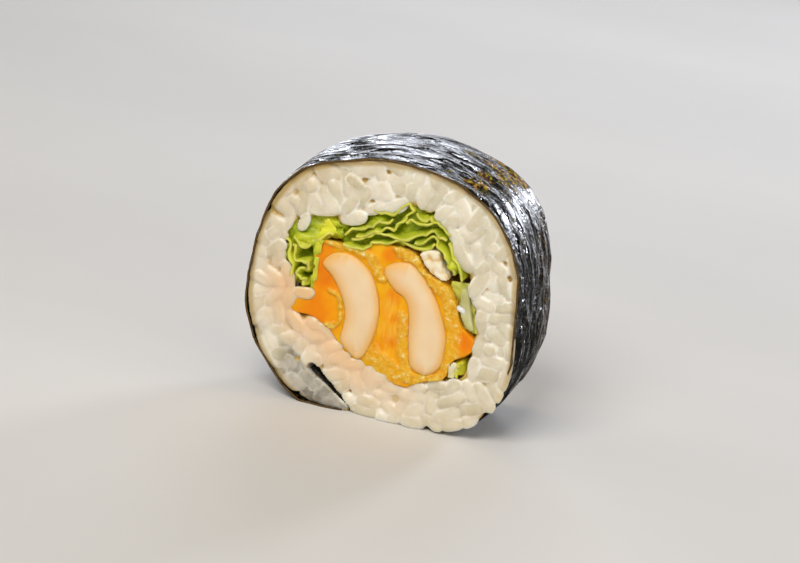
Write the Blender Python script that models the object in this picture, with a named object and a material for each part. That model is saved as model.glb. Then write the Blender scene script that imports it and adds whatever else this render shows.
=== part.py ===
"""One slice of a thick sushi roll with squid tempura, lying on its nori with a cut face to the front.

Seen from the front, +X is to the right and +Z is up, and the roll's axis runs along Y. The slice
rests on a flat spot of the nori at Z = 0. All sizes below are in millimetres, and points of the
section are (across, up) from the roll's axis. The fillings run from the front cut to the rear cut.
"""

import math
import random

import bmesh
import bpy
import numpy as np
from mathutils import Vector

MM = 0.001

# The slice
THICKNESS = 25.0
AXIS_HEIGHT = 25.0
BELLY = 0.8  # how much the slice swells between its two cuts
GAP = 0.32  # kept between any two pieces
STATIONS = 5  # sections along the axis, the same for all the fillings

# Nori: one sheet, which starts inside the rice, runs round the roll and ends under its own start
NORI_THICKNESS = 0.35
NORI_PROUD = 0.3  # how far its edges stand past the cuts
OUTLINE_RADII = (  # from the axis to the outside of the nori, at equal angles from +X
    26.3, 26.7, 27.2, 26.1, 25.5, 25.9, 27.8, 27.4,
    27.0, 27.7, 28.3, 28.0, 25.6, 27.0, 30.2, 29.0,
)
SHEET_START = ((-13.4, -17.9), (-9.3, -20.5), (-5.2, -23.0), (-1.4, -24.6))
SHEET_MEETS_OUTLINE = 273.0  # degrees
SHEET_END = 260.0  # degrees, one turn on
OUTLINE_STEP = 7.5  # degrees

# Rice
CORE_BELOW_CUT = 1.5  # the grains stand on a core whose faces lie this far inside the cuts
GRAIN_LENGTH = 6.6
GRAIN_WIDTH = 3.3
GRAIN_DEPTH = 2.9
GRAIN_CENTRE_BELOW_CUT = 1.1
GRAIN_SPACING = 1.8  # least distance between the cores of two grains
GRAIN_SIDES = 5
GRAIN_RINGS = 4
GRAIN_TRIES = 16000
SEAM_ANGLE = 236.0  # where the sheet's loose end stands off the rice
SEAM_SPREAD = 16.0
SEAM_LIFT = 0.9

# The hollow in the rice that holds the fillings
HOLLOW = (
    (19.4, -2.6), (17.6, 2.8), (16.2, 7.0), (13.2, 11.4), (9.6, 15.6), (6.6, 17.4), (2.8, 18.9),
    (-1.6, 16.8), (-5.2, 15.0), (-8.4, 12.0), (-13.4, 12.6), (-18.8, 10.6), (-21.3, 5.6),
    (-20.0, 0.6), (-18.2, -4.2), (-17.9, -8.6), (-12.4, -8.7), (-8.6, -11.3), (-5.2, -14.1),
    (-1.0, -15.3), (3.2, -16.8), (6.8, -17.7), (10.2, -15.7), (15.6, -14.6), (18.4, -12.0),
    (18.9, -8.8),
)

# Squid: two strips seen end on
SQUID_LEFT = (
    (-12.2, 3.3), (-9.7, 5.5), (-5.4, 4.7), (-2.0, 1.2), (-0.7, -3.4), (-0.7, -8.3), (-2.6, -13.1),
    (-5.5, -11.9), (-7.0, -8.0), (-7.6, -3.8), (-10.2, 0.4),
)
SQUID_RIGHT = (
    (-0.3, 4.4), (2.2, 6.6), (5.9, 5.8), (9.4, 1.9), (11.9, -2.5), (13.1, -7.8), (12.2, -12.4),
    (9.6, -13.8), (6.9, -11.8), (5.8, -6.4), (4.7, -0.9), (1.5, 1.6),
)
SQUID_DOME = 0.4  # how far the cut squid stands out in its middle
SQUID_RIM = 0.9

# Batter: one fried coat round both strips
BATTER = (
    (-13.4, 6.1), (-10.4, 7.0), (-6.0, 6.8), (-3.0, 8.4), (1.0, 8.9), (5.1, 8.2), (7.5, 5.3),
    (11.8, 3.5), (14.1, 0.0), (15.2, -3.4), (18.6, -6.3), (16.8, -8.7), (14.4, -10.2),
    (13.6, -13.8), (10.0, -14.9), (6.6, -16.8), (2.6, -16.0), (-1.8, -14.5), (-5.3, -13.3),
    (-9.2, -9.7), (-13.0, -8.0), (-16.9, -7.9), (-17.1, -5.7), (-13.8, -4.4), (-13.5, 0.6),
)
FLAKE = (
    (6.1, 9.4), (9.3, 10.2), (10.3, 8.0), (12.3, 5.3), (10.2, 5.1), (7.6, 7.0),
)
BATTER_DOME = 0.2
BATTER_RIM = 0.4
CRUMB = 1.25  # radius of the largest crumbs of batter
CRUMB_SUNK = 0.3  # how far the middle of a crumb lies below the cut, in its own radii
CRUMB_SPACING = 2.3
CRUMB_TRIES = 1500

# Lettuce: each sheet is its line across the section
LEAF_THICKNESS = 0.4
LETTUCE = {
    "lettuce_under": (
        (-9.4, 7.6), (-7.6, 7.8), (-5.6, 8.0), (-4.3, 8.5), (-3.2, 9.5), (-1.6, 10.0), (0.6, 10.1),
        (2.8, 10.2), (5.4, 10.6), (7.4, 11.0), (8.6, 11.1),
    ),
    "lettuce_sheet": (
        (-7.4, 8.8), (-6.0, 9.0), (-4.6, 9.8), (-3.2, 10.7), (-1.6, 11.1), (0.6, 11.4), (2.5, 12.1),
        (4.7, 12.8), (6.6, 13.6), (8.0, 13.9), (9.3, 13.5), (10.4, 12.4),
    ),
    "lettuce_inner": (
        (4.6, 11.5), (6.2, 12.2), (7.6, 12.5), (8.9, 12.2), (10.2, 11.1), (11.4, 9.8), (12.6, 8.1),
        (13.4, 6.4),
    ),
    "lettuce_side": ((11.2, 12.3), (12.2, 11.0), (13.3, 9.4), (14.1, 7.6), (15.2, 5.8)),
    "lettuce_fold": (
        (-9.1, 9.0), (-8.2, 10.6), (-6.6, 11.5), (-5.2, 12.7), (-4.1, 13.4), (-2.6, 13.6),
        (-1.2, 13.8), (-0.7, 14.5),
    ),
    "lettuce_loop": (
        (-6.8, 10.1), (-5.4, 10.8), (-3.9, 12.1), (-2.2, 12.2), (-0.4, 12.6), (0.8, 13.4),
        (1.1, 14.5), (1.9, 15.4), (2.8, 16.3), (3.1, 17.3), (2.2, 17.8), (0.7, 16.9), (-0.9, 15.9),
        (-2.7, 15.1), (-4.2, 14.7),
    ),
    "lettuce_top": (
        (2.7, 14.0), (3.8, 14.7), (5.2, 15.0), (7.0, 15.3), (8.4, 15.1), (9.6, 14.4), (10.7, 13.3),
    ),
    "lettuce_crest": ((4.2, 16.4), (5.4, 16.1), (6.4, 16.2), (7.1, 16.4), (8.0, 15.9)),
    "lettuce_leaf": (
        (-18.8, 8.4), (-17.2, 9.5), (-15.4, 10.7), (-13.6, 11.2), (-11.8, 10.7), (-10.4, 9.8),
    ),
    "lettuce_hem": ((-20.6, 4.8), (-19.8, 3.4), (-19.3, 1.8), (-19.1, 0.2), (-18.6, -1.1)),
    "lettuce_frill": (
        (-18.4, 4.3), (-18.2, 3.0), (-17.3, 2.7), (-16.2, 3.5), (-15.0, 4.1), (-14.4, 3.1),
        (-14.9, 2.0), (-16.4, 1.6), (-17.6, 1.0), (-17.4, 0.0), (-16.0, 0.2), (-14.8, 0.4),
        (-14.5, -0.8), (-15.6, -1.3), (-17.0, -1.5), (-17.1, -2.5), (-15.6, -2.8), (-14.5, -2.5),
    ),
    "lettuce_tip": (
        (15.2, -13.2), (15.3, -11.7), (15.8, -10.5), (16.8, -10.4), (17.2, -11.7), (16.7, -13.0),
    ),
}
DROOPING_FRONT = {  # the line of a sheet's front edge, where it hangs away from the rest
    "lettuce_leaf": (
        (-19.0, 6.9), (-17.5, 5.5), (-15.6, 5.8), (-14.1, 7.3), (-12.4, 8.3), (-10.9, 8.6),
    ),
}
RIB = (
    (14.9, 3.7), (16.2, 3.8), (16.9, 1.2), (17.6, -1.8), (18.2, -3.8), (16.4, -3.0), (15.2, -0.4),
)
RIB_DOME = 0.2
RIB_RIM = 0.5
LEAF_RAGGED = 0.5  # how unevenly the knife left the leaves' edges

# How the fillings wander between the two cuts
DRIFT = (0.6, -0.6)
TWIST = math.radians(8.0)
RIPPLE = 0.22
RIPPLE_LENGTH = 26.0

SHARP = math.radians(50.0)  # edges sharper than this stay sharp when shaded

RICE_WHITE = (0.78, 0.70, 0.52, 1.0)
NORI_BLACK = (0.012, 0.014, 0.008, 1.0)
SQUID_WHITE = (0.86, 0.66, 0.42, 1.0)
BATTER_GOLD = (0.85, 0.36, 0.02, 1.0)
FLAKE_CREAM = (0.84, 0.72, 0.45, 1.0)
LETTUCE_GREEN = (0.27, 0.33, 0.02, 1.0)
RIB_GREEN = (0.52, 0.50, 0.20, 1.0)


def clear_scene():
    for obj in list(bpy.data.objects):
        bpy.data.objects.remove(obj)


def material(name, colour, roughness):
    made = bpy.data.materials.new(name)
    made.use_nodes = True
    shader = made.node_tree.nodes["Principled BSDF"]
    shader.inputs["Base Color"].default_value = colour
    shader.inputs["Roughness"].default_value = roughness
    shader.inputs["Metallic"].default_value = 0.0
    return made


def point(across, along, up):
    """A point in metres, measured from the middle of the roll's axis."""
    return Vector((across, along, up)) * MM


def smooth_line(points, per_span, closed=False):
    """A Catmull-Rom curve through the points, as tuples of the same length."""
    points = [np.array(p, float) for p in points]
    count = len(points)
    spans = count if closed else count - 1
    line = []
    for i in range(spans):
        if closed:
            a, b, c, d = (points[(i + k) % count] for k in (-1, 0, 1, 2))
        else:
            a, b, c, d = (points[min(max(i + k, 0), count - 1)] for k in (-1, 0, 1, 2))
        for step in range(per_span):
            t = step / per_span
            line.append(
                0.5 * (2 * b + (c - a) * t + (2 * a - 5 * b + 4 * c - d) * t**2
                       + (3 * b - a - 3 * c + d) * t**3)
            )
    if not closed:
        line.append(points[-1])
    return line


def outline_radius(degrees):
    """The nori's outside, from the axis: a smooth closed curve through OUTLINE_RADII."""
    count = len(OUTLINE_RADII)
    place = (degrees / 360.0 * count) % count
    i, t = int(place), place % 1.0
    a, b, c, d = (OUTLINE_RADII[(i + k) % count] for k in (-1, 0, 1, 2))
    return 0.5 * (2 * b + (c - a) * t + (2 * a - 5 * b + 4 * c - d) * t**2 + (3 * b - a - 3 * c + d) * t**3)


def belly(along):
    """How far the outline swells at this distance along the axis."""
    return BELLY * (1.0 - (2.0 * along / THICKNESS) ** 2)


def outline_point(degrees, along, inset=0.0):
    """A point on the roll's outline, moved in by inset, and flat where the slice rests."""
    radius = outline_radius(degrees) + belly(along) - inset
    angle = math.radians(degrees)
    up = max(radius * math.sin(angle), 1.4 * inset - AXIS_HEIGHT)
    return radius * math.cos(angle), up


def seam_lift(degrees):
    """The extra room between rice and nori beside the sheet's loose end."""
    away = (degrees - SEAM_ANGLE + 180.0) % 360.0 - 180.0
    return SEAM_LIFT * math.exp(-((away / SEAM_SPREAD) ** 2))


def bundle_point(across, up, along):
    """A point of the fillings, after their drift, twist and ripple between the cuts."""
    share = along / THICKNESS + 0.5
    turn = TWIST * share
    x = across * math.cos(turn) - up * math.sin(turn) + DRIFT[0] * share
    z = across * math.sin(turn) + up * math.cos(turn) + DRIFT[1] * share
    phase = 2.0 * math.pi / RIPPLE_LENGTH
    x += RIPPLE * math.sin(phase * (along + 0.8 * up))
    z += RIPPLE * math.sin(phase * (along + 0.7 * across) + 1.0)
    return x, z


def stations(reach, count=STATIONS):
    """Evenly spaced distances along the axis, from -reach to +reach."""
    return [reach * (2.0 * i / (count - 1) - 1.0) for i in range(count)]


def through(line):
    """Rings for a cutter with this section: along the bundle, and straight on past both cuts."""
    rings = []
    for along in [-THICKNESS] + stations(THICKNESS / 2) + [THICKNESS]:
        at = max(-THICKNESS / 2, min(THICKNESS / 2, along))
        rings.append([
            point(x, along, z)
            for x, z in (bundle_point(p[0], p[1], at) for p in line)
        ])
    return rings


def add_object(name, mesh, axis):
    """A new object on the roll's axis, which every piece of the slice is placed from."""
    obj = bpy.data.objects.new(name, mesh)
    bpy.context.scene.collection.objects.link(obj)
    obj.parent = axis
    return obj


def object_of(name, bm, axis, colour=None, roughness=0.5, smooth=None):
    bmesh.ops.recalc_face_normals(bm, faces=bm.faces)
    mesh = bpy.data.meshes.new(name)
    bm.to_mesh(mesh)
    bm.free()
    if colour:
        mesh.materials.append(material(name, colour, roughness))
    if smooth:
        mesh.shade_smooth()
        mesh.set_sharp_from_angle(angle=smooth)
    return add_object(name, mesh, axis)


def loft(rings):
    """A closed body through rings of points, each ring with as many points as the next."""
    bm = bmesh.new()
    rows = [[bm.verts.new(p) for p in ring] for ring in rings]
    for near, far in zip(rows, rows[1:]):
        for i in range(len(near)):
            j = (i + 1) % len(near)
            bm.faces.new((near[i], near[j], far[j], far[i]))
    bm.faces.new(rows[0])
    bm.faces.new(rows[-1])
    return bm


def sheet(rows):
    """An open sheet through rows of points, split into triangles that alternate."""
    bm = bmesh.new()
    grid = [[bm.verts.new(p) for p in row] for row in rows]
    for near, far in zip(grid, grid[1:]):
        for i in range(len(near) - 1):
            bm.faces.new((near[i], near[i + 1], far[i + 1], far[i]))
    bmesh.ops.triangulate(bm, faces=bm.faces, quad_method="BEAUTY")
    return bm


def inset_line(line, distance):
    """The closed line moved inwards by the distance, point by point."""
    moved = []
    count = len(line)
    area = sum(
        line[i][0] * line[(i + 1) % count][1] - line[(i + 1) % count][0] * line[i][1]
        for i in range(count)
    )
    side = math.copysign(1.0, area)
    for i in range(count):
        run = line[(i + 1) % count] - line[i - 1]
        run = run / np.linalg.norm(run)
        moved.append(line[i] + side * distance * np.array([-run[1], run[0]]))
    return moved


def stick(outline, dome, rim):
    """A filling with this closed section, whose two cut faces are domed and rounded at the rim."""
    cut = THICKNESS / 2
    line = smooth_line(outline, 2, closed=True)
    inner = inset_line(line, rim)
    plan = [(-cut - dome, inner)] + [(along, line) for along in stations(cut)] + [(cut + dome, inner)]
    rings = []
    for along, ring in plan:
        at = max(-cut, min(cut, along))
        rings.append([
            point(x, along, z)
            for x, z in (bundle_point(p[0], p[1], at) for p in ring)
        ])
    return loft(rings)


def cut_away(obj, cutter, name):
    """Takes the cutter out of the object, with a Boolean that stays on it."""
    cutter.hide_render = True
    cutter.display_type = "WIRE"
    cut = obj.modifiers.new(name, "BOOLEAN")
    cut.operation = "DIFFERENCE"
    cut.object = cutter
    return cut


def apply_modifiers(obj):
    graph = bpy.context.evaluated_depsgraph_get()
    made = bpy.data.meshes.new_from_object(obj.evaluated_get(graph))
    obj.modifiers.clear()
    old = obj.data
    obj.data = made
    made.name = old.name
    bpy.data.meshes.remove(old)


def signed_volume(faces):
    total = 0.0
    for face in faces:
        corners = [v.co for v in face.verts]
        for b, c in zip(corners[1:], corners[2:]):
            total += corners[0].dot(b.cross(c)) / 6.0
    return total


def keep_largest_shell(obj):
    """Drops loose scraps, and fills any hollow that fusing has sealed."""
    bm = bmesh.new()
    bm.from_mesh(obj.data)
    bm.faces.ensure_lookup_table()
    left = set(bm.faces)
    shells = []
    while left:
        shell = set()
        found = {left.pop()}
        while found:
            face = found.pop()
            shell.add(face)
            near = {other for edge in face.edges for other in edge.link_faces}
            found |= near & left
            left -= near
        shells.append(shell)
    shells.sort(key=signed_volume)
    scraps = [face for shell in shells[:-1] for face in shell]
    bmesh.ops.delete(bm, geom=scraps, context="FACES")
    bm.to_mesh(obj.data)
    bm.free()


def fuse(obj, bodies):
    """Joins small bodies to the object with one Boolean union, which is then applied."""
    heap = bpy.data.collections.new(obj.name + "_heap")
    bpy.context.scene.collection.children.link(heap)
    for body in bodies:
        bpy.context.scene.collection.objects.unlink(body)
        heap.objects.link(body)
    union = obj.modifiers.new("fuse", "BOOLEAN")
    union.operation = "UNION"
    union.operand_type = "COLLECTION"
    union.collection = heap
    union.solver = "MANIFOLD"
    apply_modifiers(obj)
    for body in bodies:
        mesh = body.data
        bpy.data.objects.remove(body)
        if not mesh.users:
            bpy.data.meshes.remove(mesh)
    bpy.data.collections.remove(heap)
    keep_largest_shell(obj)


def far_from(places, lines, least):
    """Whether every place is at least this far from every point of the lines."""
    for line in lines:
        gaps = np.linalg.norm(places[:, None, :] - line[None, :, :], axis=2)
        if gaps.min() < least:
            return False
    return True


def inside(place, line):
    """Whether the place lies inside the closed line."""
    x, z = line[:, 0], line[:, 1]
    x2, z2 = np.roll(x, -1), np.roll(z, -1)
    crosses = (z > place[1]) != (z2 > place[1])
    at = x + (place[1] - z) / np.where(z2 == z, 1e-9, z2 - z) * (x2 - x)
    return bool((crosses & (place[0] < at)).sum() % 2)


def dense(line, closed=True, step=0.4):
    """The line with points added, so that none lies further than the step from the next."""
    line = [np.array(p, float) for p in line]
    points = []
    for a, b in zip(line, line[1:] + line[:1] if closed else line[1:]):
        count = max(1, math.ceil(np.linalg.norm(b - a) / step))
        points += [a + (b - a) * i / count for i in range(count)]
    return np.array(points + [line[-1]])


def sheet_start_line():
    """The stretch of the nori that lies inside the rice, as its line away from the axis."""
    return np.array(smooth_line(SHEET_START, 3))


def hollow_outline():
    return smooth_line(HOLLOW, 2, closed=True)


def hollow_line(along):
    return np.array([bundle_point(p[0], p[1], along) for p in hollow_outline()])


def rice_outline(along):
    inset = NORI_THICKNESS + 1.5 * GAP
    turns = np.arange(0.0, 360.0, OUTLINE_STEP)
    return np.array([outline_point(a, along, inset + seam_lift(a)) for a in turns])


def make_nori(axis):
    start = [tuple(p) for p in sheet_start_line()]
    turns = np.arange(SHEET_MEETS_OUTLINE, SHEET_END + 360.0 + 0.1, OUTLINE_STEP)
    rows = []
    for along in stations(THICKNESS / 2 + NORI_PROUD):
        line = start + [outline_point(a, along) for a in turns]
        rows.append([point(x, along, z) for x, z in line])
    obj = object_of("nori", sheet(rows), axis, NORI_BLACK, 0.3, SHARP)
    point_outwards(obj)
    wall = obj.modifiers.new("wall", "SOLIDIFY")
    wall.thickness = NORI_THICKNESS * MM
    wall.offset = -1.0
    wall.use_even_offset = True
    return obj


def point_outwards(obj):
    """Turns an open sheet round, if its faces look towards the roll's axis."""
    outward = 0.0
    for face in obj.data.polygons:
        away = face.center.copy()
        away.y = 0.0
        outward += face.normal.dot(away.normalized()) * face.area
    if outward < 0.0:
        obj.data.flip_normals()


def make_rice_core(axis):
    """The mass of rice behind the grains, with its hollow and the slot for the sheet's start."""
    depth = THICKNESS / 2 - CORE_BELOW_CUT
    rings = [[point(x, along, z) for x, z in rice_outline(along)] for along in stations(depth)]
    core = object_of("rice", loft(rings), axis, RICE_WHITE, 0.35)
    hollow = object_of("hollow_cutter", loft(through(hollow_outline())), axis)
    slot = object_of("slot_cutter", loft(slot_rings(THICKNESS)), axis)
    cut_away(core, hollow, "hollow")
    cut_away(core, slot, "slot")
    apply_modifiers(core)
    for cutter in (hollow, slot):
        bpy.data.objects.remove(cutter)
    return core


def slot_rings(past):
    """The room for the sheet's start: as wide as it needs, and wider where it meets the outline."""
    line = sheet_start_line()
    line = np.vstack([line[0] - (line[1] - line[0]) * 0.5, line, line[-1] + np.array([3.0, -2.2])])
    runs = np.gradient(line, axis=0)
    runs /= np.linalg.norm(runs, axis=1)[:, None]
    sides = np.stack([-runs[:, 1], runs[:, 0]], axis=1)
    extra = np.interp(np.arange(len(line)), (0, len(line) - 5, len(line) - 1), (0.0, 0.2, 2.0))[:, None]
    near = line + sides * (NORI_THICKNESS + GAP + extra)
    far = line - sides * (GAP + extra)
    loop = np.vstack([near, far[::-1]])
    return [[point(x, along, z) for x, z in loop] for along in (-past, past)]


def grain_mesh():
    """A grain of cooked rice: blunt, a little flat, with few sides."""
    bm = bmesh.new()
    bmesh.ops.create_uvsphere(bm, u_segments=GRAIN_SIDES, v_segments=GRAIN_RINGS, radius=0.5)
    for v in bm.verts:
        v.co.z = math.copysign(abs(2 * v.co.z) ** 0.9 / 2, v.co.z)
    bmesh.ops.scale(bm, verts=bm.verts, vec=Vector((GRAIN_DEPTH, GRAIN_WIDTH, GRAIN_LENGTH)) * MM)
    mesh = bpy.data.meshes.new("grain")
    bmesh.ops.triangulate(bm, faces=bm.faces)
    bm.to_mesh(mesh)
    bm.free()
    return mesh


def grain_places(face, draw):
    """(across, up, heading) for the grains of one cut face, evenly spread and clear of all else."""
    along = face * THICKNESS / 2
    outer, hollow = dense(rice_outline(along)), dense(hollow_line(along))
    start = dense(sheet_start_line(), closed=False)
    walls = [outer, hollow]
    reach = GRAIN_LENGTH / 2 - GRAIN_WIDTH / 2
    taken, places = [], []
    for _ in range(GRAIN_TRIES):
        angle, radius = draw.uniform(0.0, 2 * math.pi), 30.0 * math.sqrt(draw.random())
        middle = np.array([radius * math.cos(angle), radius * math.sin(angle)])
        heading = draw.uniform(0.0, math.pi)
        run = np.array([math.cos(heading), math.sin(heading)])
        body = np.array([middle - run * reach, middle, middle + run * reach])
        if not inside(middle, outer) or inside(middle, hollow):
            continue
        if not far_from(body, walls, GRAIN_WIDTH / 2 + 0.1):
            continue
        if not far_from(body, [start], GRAIN_WIDTH / 2 + NORI_THICKNESS / 2 + GAP):
            continue
        if taken and not far_from(body, [np.vstack(taken)], GRAIN_SPACING):
            continue
        taken.append(body)
        places.append((middle[0], middle[1], heading))
    return places


def make_rice(axis):
    core = make_rice_core(axis)
    mesh = grain_mesh()
    draw = random.Random(7)
    grains = []
    for face in (-1.0, 1.0):
        for across, up, heading in grain_places(face, draw):
            along = face * (THICKNESS / 2 - GRAIN_CENTRE_BELOW_CUT - draw.uniform(-0.3, 0.3))
            grain = add_object("grain", mesh, axis)
            grain.location = point(across, along, up)
            run = Vector((math.cos(heading), draw.uniform(-0.25, 0.25), math.sin(heading)))
            grain.rotation_mode = "QUATERNION"
            grain.rotation_quaternion = run.to_track_quat("Z", "X")
            grains.append(grain)
    fuse(core, grains)
    return core


def make_squid(name, outline, axis):
    return object_of(name, stick(outline, SQUID_DOME, SQUID_RIM), axis, SQUID_WHITE, 0.3, SHARP)


def crumbs_on(line, keep_off, axis, draw):
    """Crumbs over both cut faces of a batter outline, clear of its rim and of the lines given."""
    line = dense(line)
    keep_off = [dense(other) for other in keep_off]
    low, high = line.min(axis=0), line.max(axis=0)
    made = []
    for face in (-1.0, 1.0):
        taken = []
        for _ in range(CRUMB_TRIES):
            spot = np.array([draw.uniform(low[0], high[0]), draw.uniform(low[1], high[1])])
            size = CRUMB * draw.uniform(0.5, 1.0)
            if not inside(spot, line) or any(inside(spot, other) for other in keep_off):
                continue
            if not far_from(spot[None, :], [line] + keep_off, size + GAP):
                continue
            if taken and not far_from(spot[None, :], [np.array(taken)], CRUMB_SPACING):
                continue
            taken.append(spot)
            along = face * THICKNESS / 2
            x, z = bundle_point(spot[0], spot[1], along)
            bm = bmesh.new()
            bmesh.ops.create_icosphere(bm, subdivisions=1, radius=size * MM)
            bmesh.ops.translate(bm, verts=bm.verts, vec=point(x, along - face * size * CRUMB_SUNK, z))
            made.append(object_of("crumb", bm, axis))
    return made


def make_batter(name, outline, strips, colour, axis, draw):
    """Fried batter: its outline, less the room for the strips in it, with crumbs on the cut faces."""
    coat = object_of(name, stick(outline, BATTER_DOME, BATTER_RIM), axis, colour, 0.45)
    rooms = [inset_line(smooth_line(strip, 2, closed=True), -GAP) for strip in strips]
    cutters = []
    for room in rooms:
        cutters.append(object_of("strip_cutter", loft(through(room)), axis))
        cut_away(coat, cutters[-1], "strip")
    apply_modifiers(coat)
    for cutter in cutters:
        bpy.data.objects.remove(cutter)
    fuse(coat, crumbs_on(smooth_line(outline, 2, closed=True), rooms, axis, draw))
    return coat


def make_leaf(name, line, axis, draw):
    middle = smooth_line(line, 2)
    front = smooth_line(DROOPING_FRONT.get(name, line), 2)
    phase = draw.uniform(0.0, 2 * math.pi)
    rows = []
    for station in stations(THICKNESS / 2):
        row = []
        for i, (across, up) in enumerate(middle if rows else front):
            ragged = LEAF_RAGGED * math.sin(1.3 * i + phase)
            along = station * (1.0 + 2.0 * max(ragged, -0.2) / THICKNESS)
            x, z = bundle_point(across, up, station)
            row.append(point(x, along, z))
        rows.append(row)
    obj = object_of(name, sheet(rows), axis, LETTUCE_GREEN, 0.4, SHARP)
    wall = obj.modifiers.new("wall", "SOLIDIFY")
    wall.thickness = LEAF_THICKNESS * MM
    wall.offset = 0.0
    wall.use_even_offset = True
    return obj


def main():
    clear_scene()
    axis = bpy.data.objects.new("roll_axis", None)
    axis.location = Vector((0.0, 0.0, AXIS_HEIGHT)) * MM
    bpy.context.scene.collection.objects.link(axis)
    draw = random.Random(3)
    make_nori(axis)
    make_rice(axis)
    make_squid("squid_left", SQUID_LEFT, axis)
    make_squid("squid_right", SQUID_RIGHT, axis)
    make_batter("batter", BATTER, (SQUID_LEFT, SQUID_RIGHT), BATTER_GOLD, axis, draw)
    make_batter("batter_flake", FLAKE, (), FLAKE_CREAM, axis, draw)
    for name, line in LETTUCE.items():
        make_leaf(name, line, axis, draw)
    object_of("lettuce_rib", stick(RIB, RIB_DOME, RIB_RIM), axis, RIB_GREEN, 0.3, SHARP)


main()
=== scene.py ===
# %% [markdown]
# # A slice of thick sushi roll
#
# This lesson dresses one slice of a sushi roll: a sheet of nori outside, a ring of white rice, and
# two strips of fried squid with folded lettuce in the middle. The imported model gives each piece's
# place and size, and the cells below make the surface that the eye sees. The slice stands on its nori
# like a wheel on its rim. The roll's axis runs along Y, the cut that we look at faces -Y, and
# everything is measured in millimetres from that axis until a point is made.

import math
import random

import bmesh
import bpy
import numpy as np
from mathutils import Matrix, Vector, kdtree, noise


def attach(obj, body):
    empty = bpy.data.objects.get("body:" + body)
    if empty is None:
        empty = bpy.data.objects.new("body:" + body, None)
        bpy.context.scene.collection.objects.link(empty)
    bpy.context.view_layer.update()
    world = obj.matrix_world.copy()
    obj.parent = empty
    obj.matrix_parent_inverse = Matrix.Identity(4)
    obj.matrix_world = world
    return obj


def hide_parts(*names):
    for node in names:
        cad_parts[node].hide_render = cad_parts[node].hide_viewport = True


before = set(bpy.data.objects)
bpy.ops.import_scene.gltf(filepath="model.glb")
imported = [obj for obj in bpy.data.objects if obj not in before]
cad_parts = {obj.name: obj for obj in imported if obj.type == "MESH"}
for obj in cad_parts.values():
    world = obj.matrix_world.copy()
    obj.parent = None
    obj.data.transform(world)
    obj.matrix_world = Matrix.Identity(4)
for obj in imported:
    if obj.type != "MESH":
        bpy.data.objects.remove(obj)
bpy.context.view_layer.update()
MM = 0.001
THICKNESS = 25.0
CUT = THICKNESS / 2
AXIS_HEIGHT = 25.0
NORI_THICKNESS = 0.35
print("nodes:", ", ".join(sorted(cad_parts)))

# %% [markdown]
# ## Colours and nodes
#
# A picture shows sRGB values, while a shader works in linear light, so every colour is written as a
# hex value and goes through one function. One more function adds a node with its settings and links
# and hands back its output, which keeps each material short enough to read as a recipe. A pattern's
# scale is worked out from the size in mm of its features on the real food.


# %% Colour and node helpers
def srgb(hex_value):
    """A hex sRGB colour as linear RGBA."""
    channels = [int(hex_value[i:i + 2], 16) / 255.0 for i in (1, 3, 5)]
    return (*(c / 12.92 if c <= 0.04045 else ((c + 0.055) / 1.055) ** 2.4 for c in channels), 1.0)


def plug(tree, node, **inputs):
    """Links each input that is given as a socket and sets the others. _2 means the input number 2."""
    for name, value in inputs.items():
        socket = node.inputs[int(name[1:]) if name[0] == "_" else name.replace("_", " ")]
        if isinstance(value, bpy.types.NodeSocket):
            tree.links.new(value, socket)
        else:
            socket.default_value = value


def add(tree, kind, settings=None, out=0, **inputs):
    """Adds a node with its settings and links, and returns an output. Stops are (position, hex)."""
    node = tree.nodes.new("ShaderNode" + kind)
    for key, value in (settings or {}).items():
        if key != "stops":
            setattr(node, key, value)
            continue
        band = node.color_ramp.elements
        while len(band) < len(value):
            band.new(0.5)
        for element, (position, colour) in zip(band, value):
            element.position = position
            element.color = srgb(colour)
    plug(tree, node, **inputs)
    return node.outputs[out]


def new_finish(name):
    """An empty material with its Principled shader, as (material, tree, shader)."""
    made = bpy.data.materials.new(name)
    made.use_nodes = True
    return made, made.node_tree, made.node_tree.nodes["Principled BSDF"]


def every(*sizes):
    """The scale of a pattern whose features are this many mm wide, or one for each axis."""
    scales = [1.0 / (size * MM) for size in sizes]
    return scales if len(scales) > 1 else scales[0]


RGBA = {"data_type": "RGBA"}

# %% [markdown]
# ## The section of the roll
#
# A hand-rolled slice is never a circle. Its outside is one smooth closed curve through sixteen radii,
# pressed flat where it rests, a little fuller between the two cuts than at them. The fillings drift
# and twist slightly on their way to the rear cut, so all of them go through the same function.

# %% Curves through points that were read off the cut
OUTLINE_RADII = (
    26.3, 26.7, 27.2, 26.1, 25.5, 25.9, 27.8, 27.4,
    27.0, 27.7, 28.3, 28.0, 25.6, 27.0, 30.2, 29.0,
)
BELLY = 0.8
DRIFT = (0.6, -0.6)
TWIST = math.radians(8.0)
RIPPLE = 0.22
RIPPLE_LENGTH = 26.0


def spline(a, b, c, d, t):
    """A Catmull-Rom curve between b and c."""
    square, cube = 2 * a - 5 * b + 4 * c - d, 3 * b - a - 3 * c + d
    return 0.5 * (2 * b + (c - a) * t + square * t**2 + cube * t**3)


def smooth_line(points, per_span, closed=False):
    """Points along a smooth curve through the given ones."""
    points = [np.array(p, float) for p in points]
    count = len(points)
    line = []
    for i in range(count if closed else count - 1):
        near = [(i + k) % count if closed else min(max(i + k, 0), count - 1) for k in (-1, 0, 1, 2)]
        line += [spline(*(points[n] for n in near), step / per_span) for step in range(per_span)]
    return line if closed else line + [points[-1]]


def dense(line, closed=True, step=0.4):
    """The line with points added, so that none lies further than the step from the next."""
    line = [np.array(p, float)[:2] for p in line]
    points = []
    for a, b in zip(line, line[1:] + line[:1] if closed else line[1:]):
        count = max(1, math.ceil(np.linalg.norm(b - a) / step))
        points += [a + (b - a) * i / count for i in range(count)]
    return np.array(points)


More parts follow.
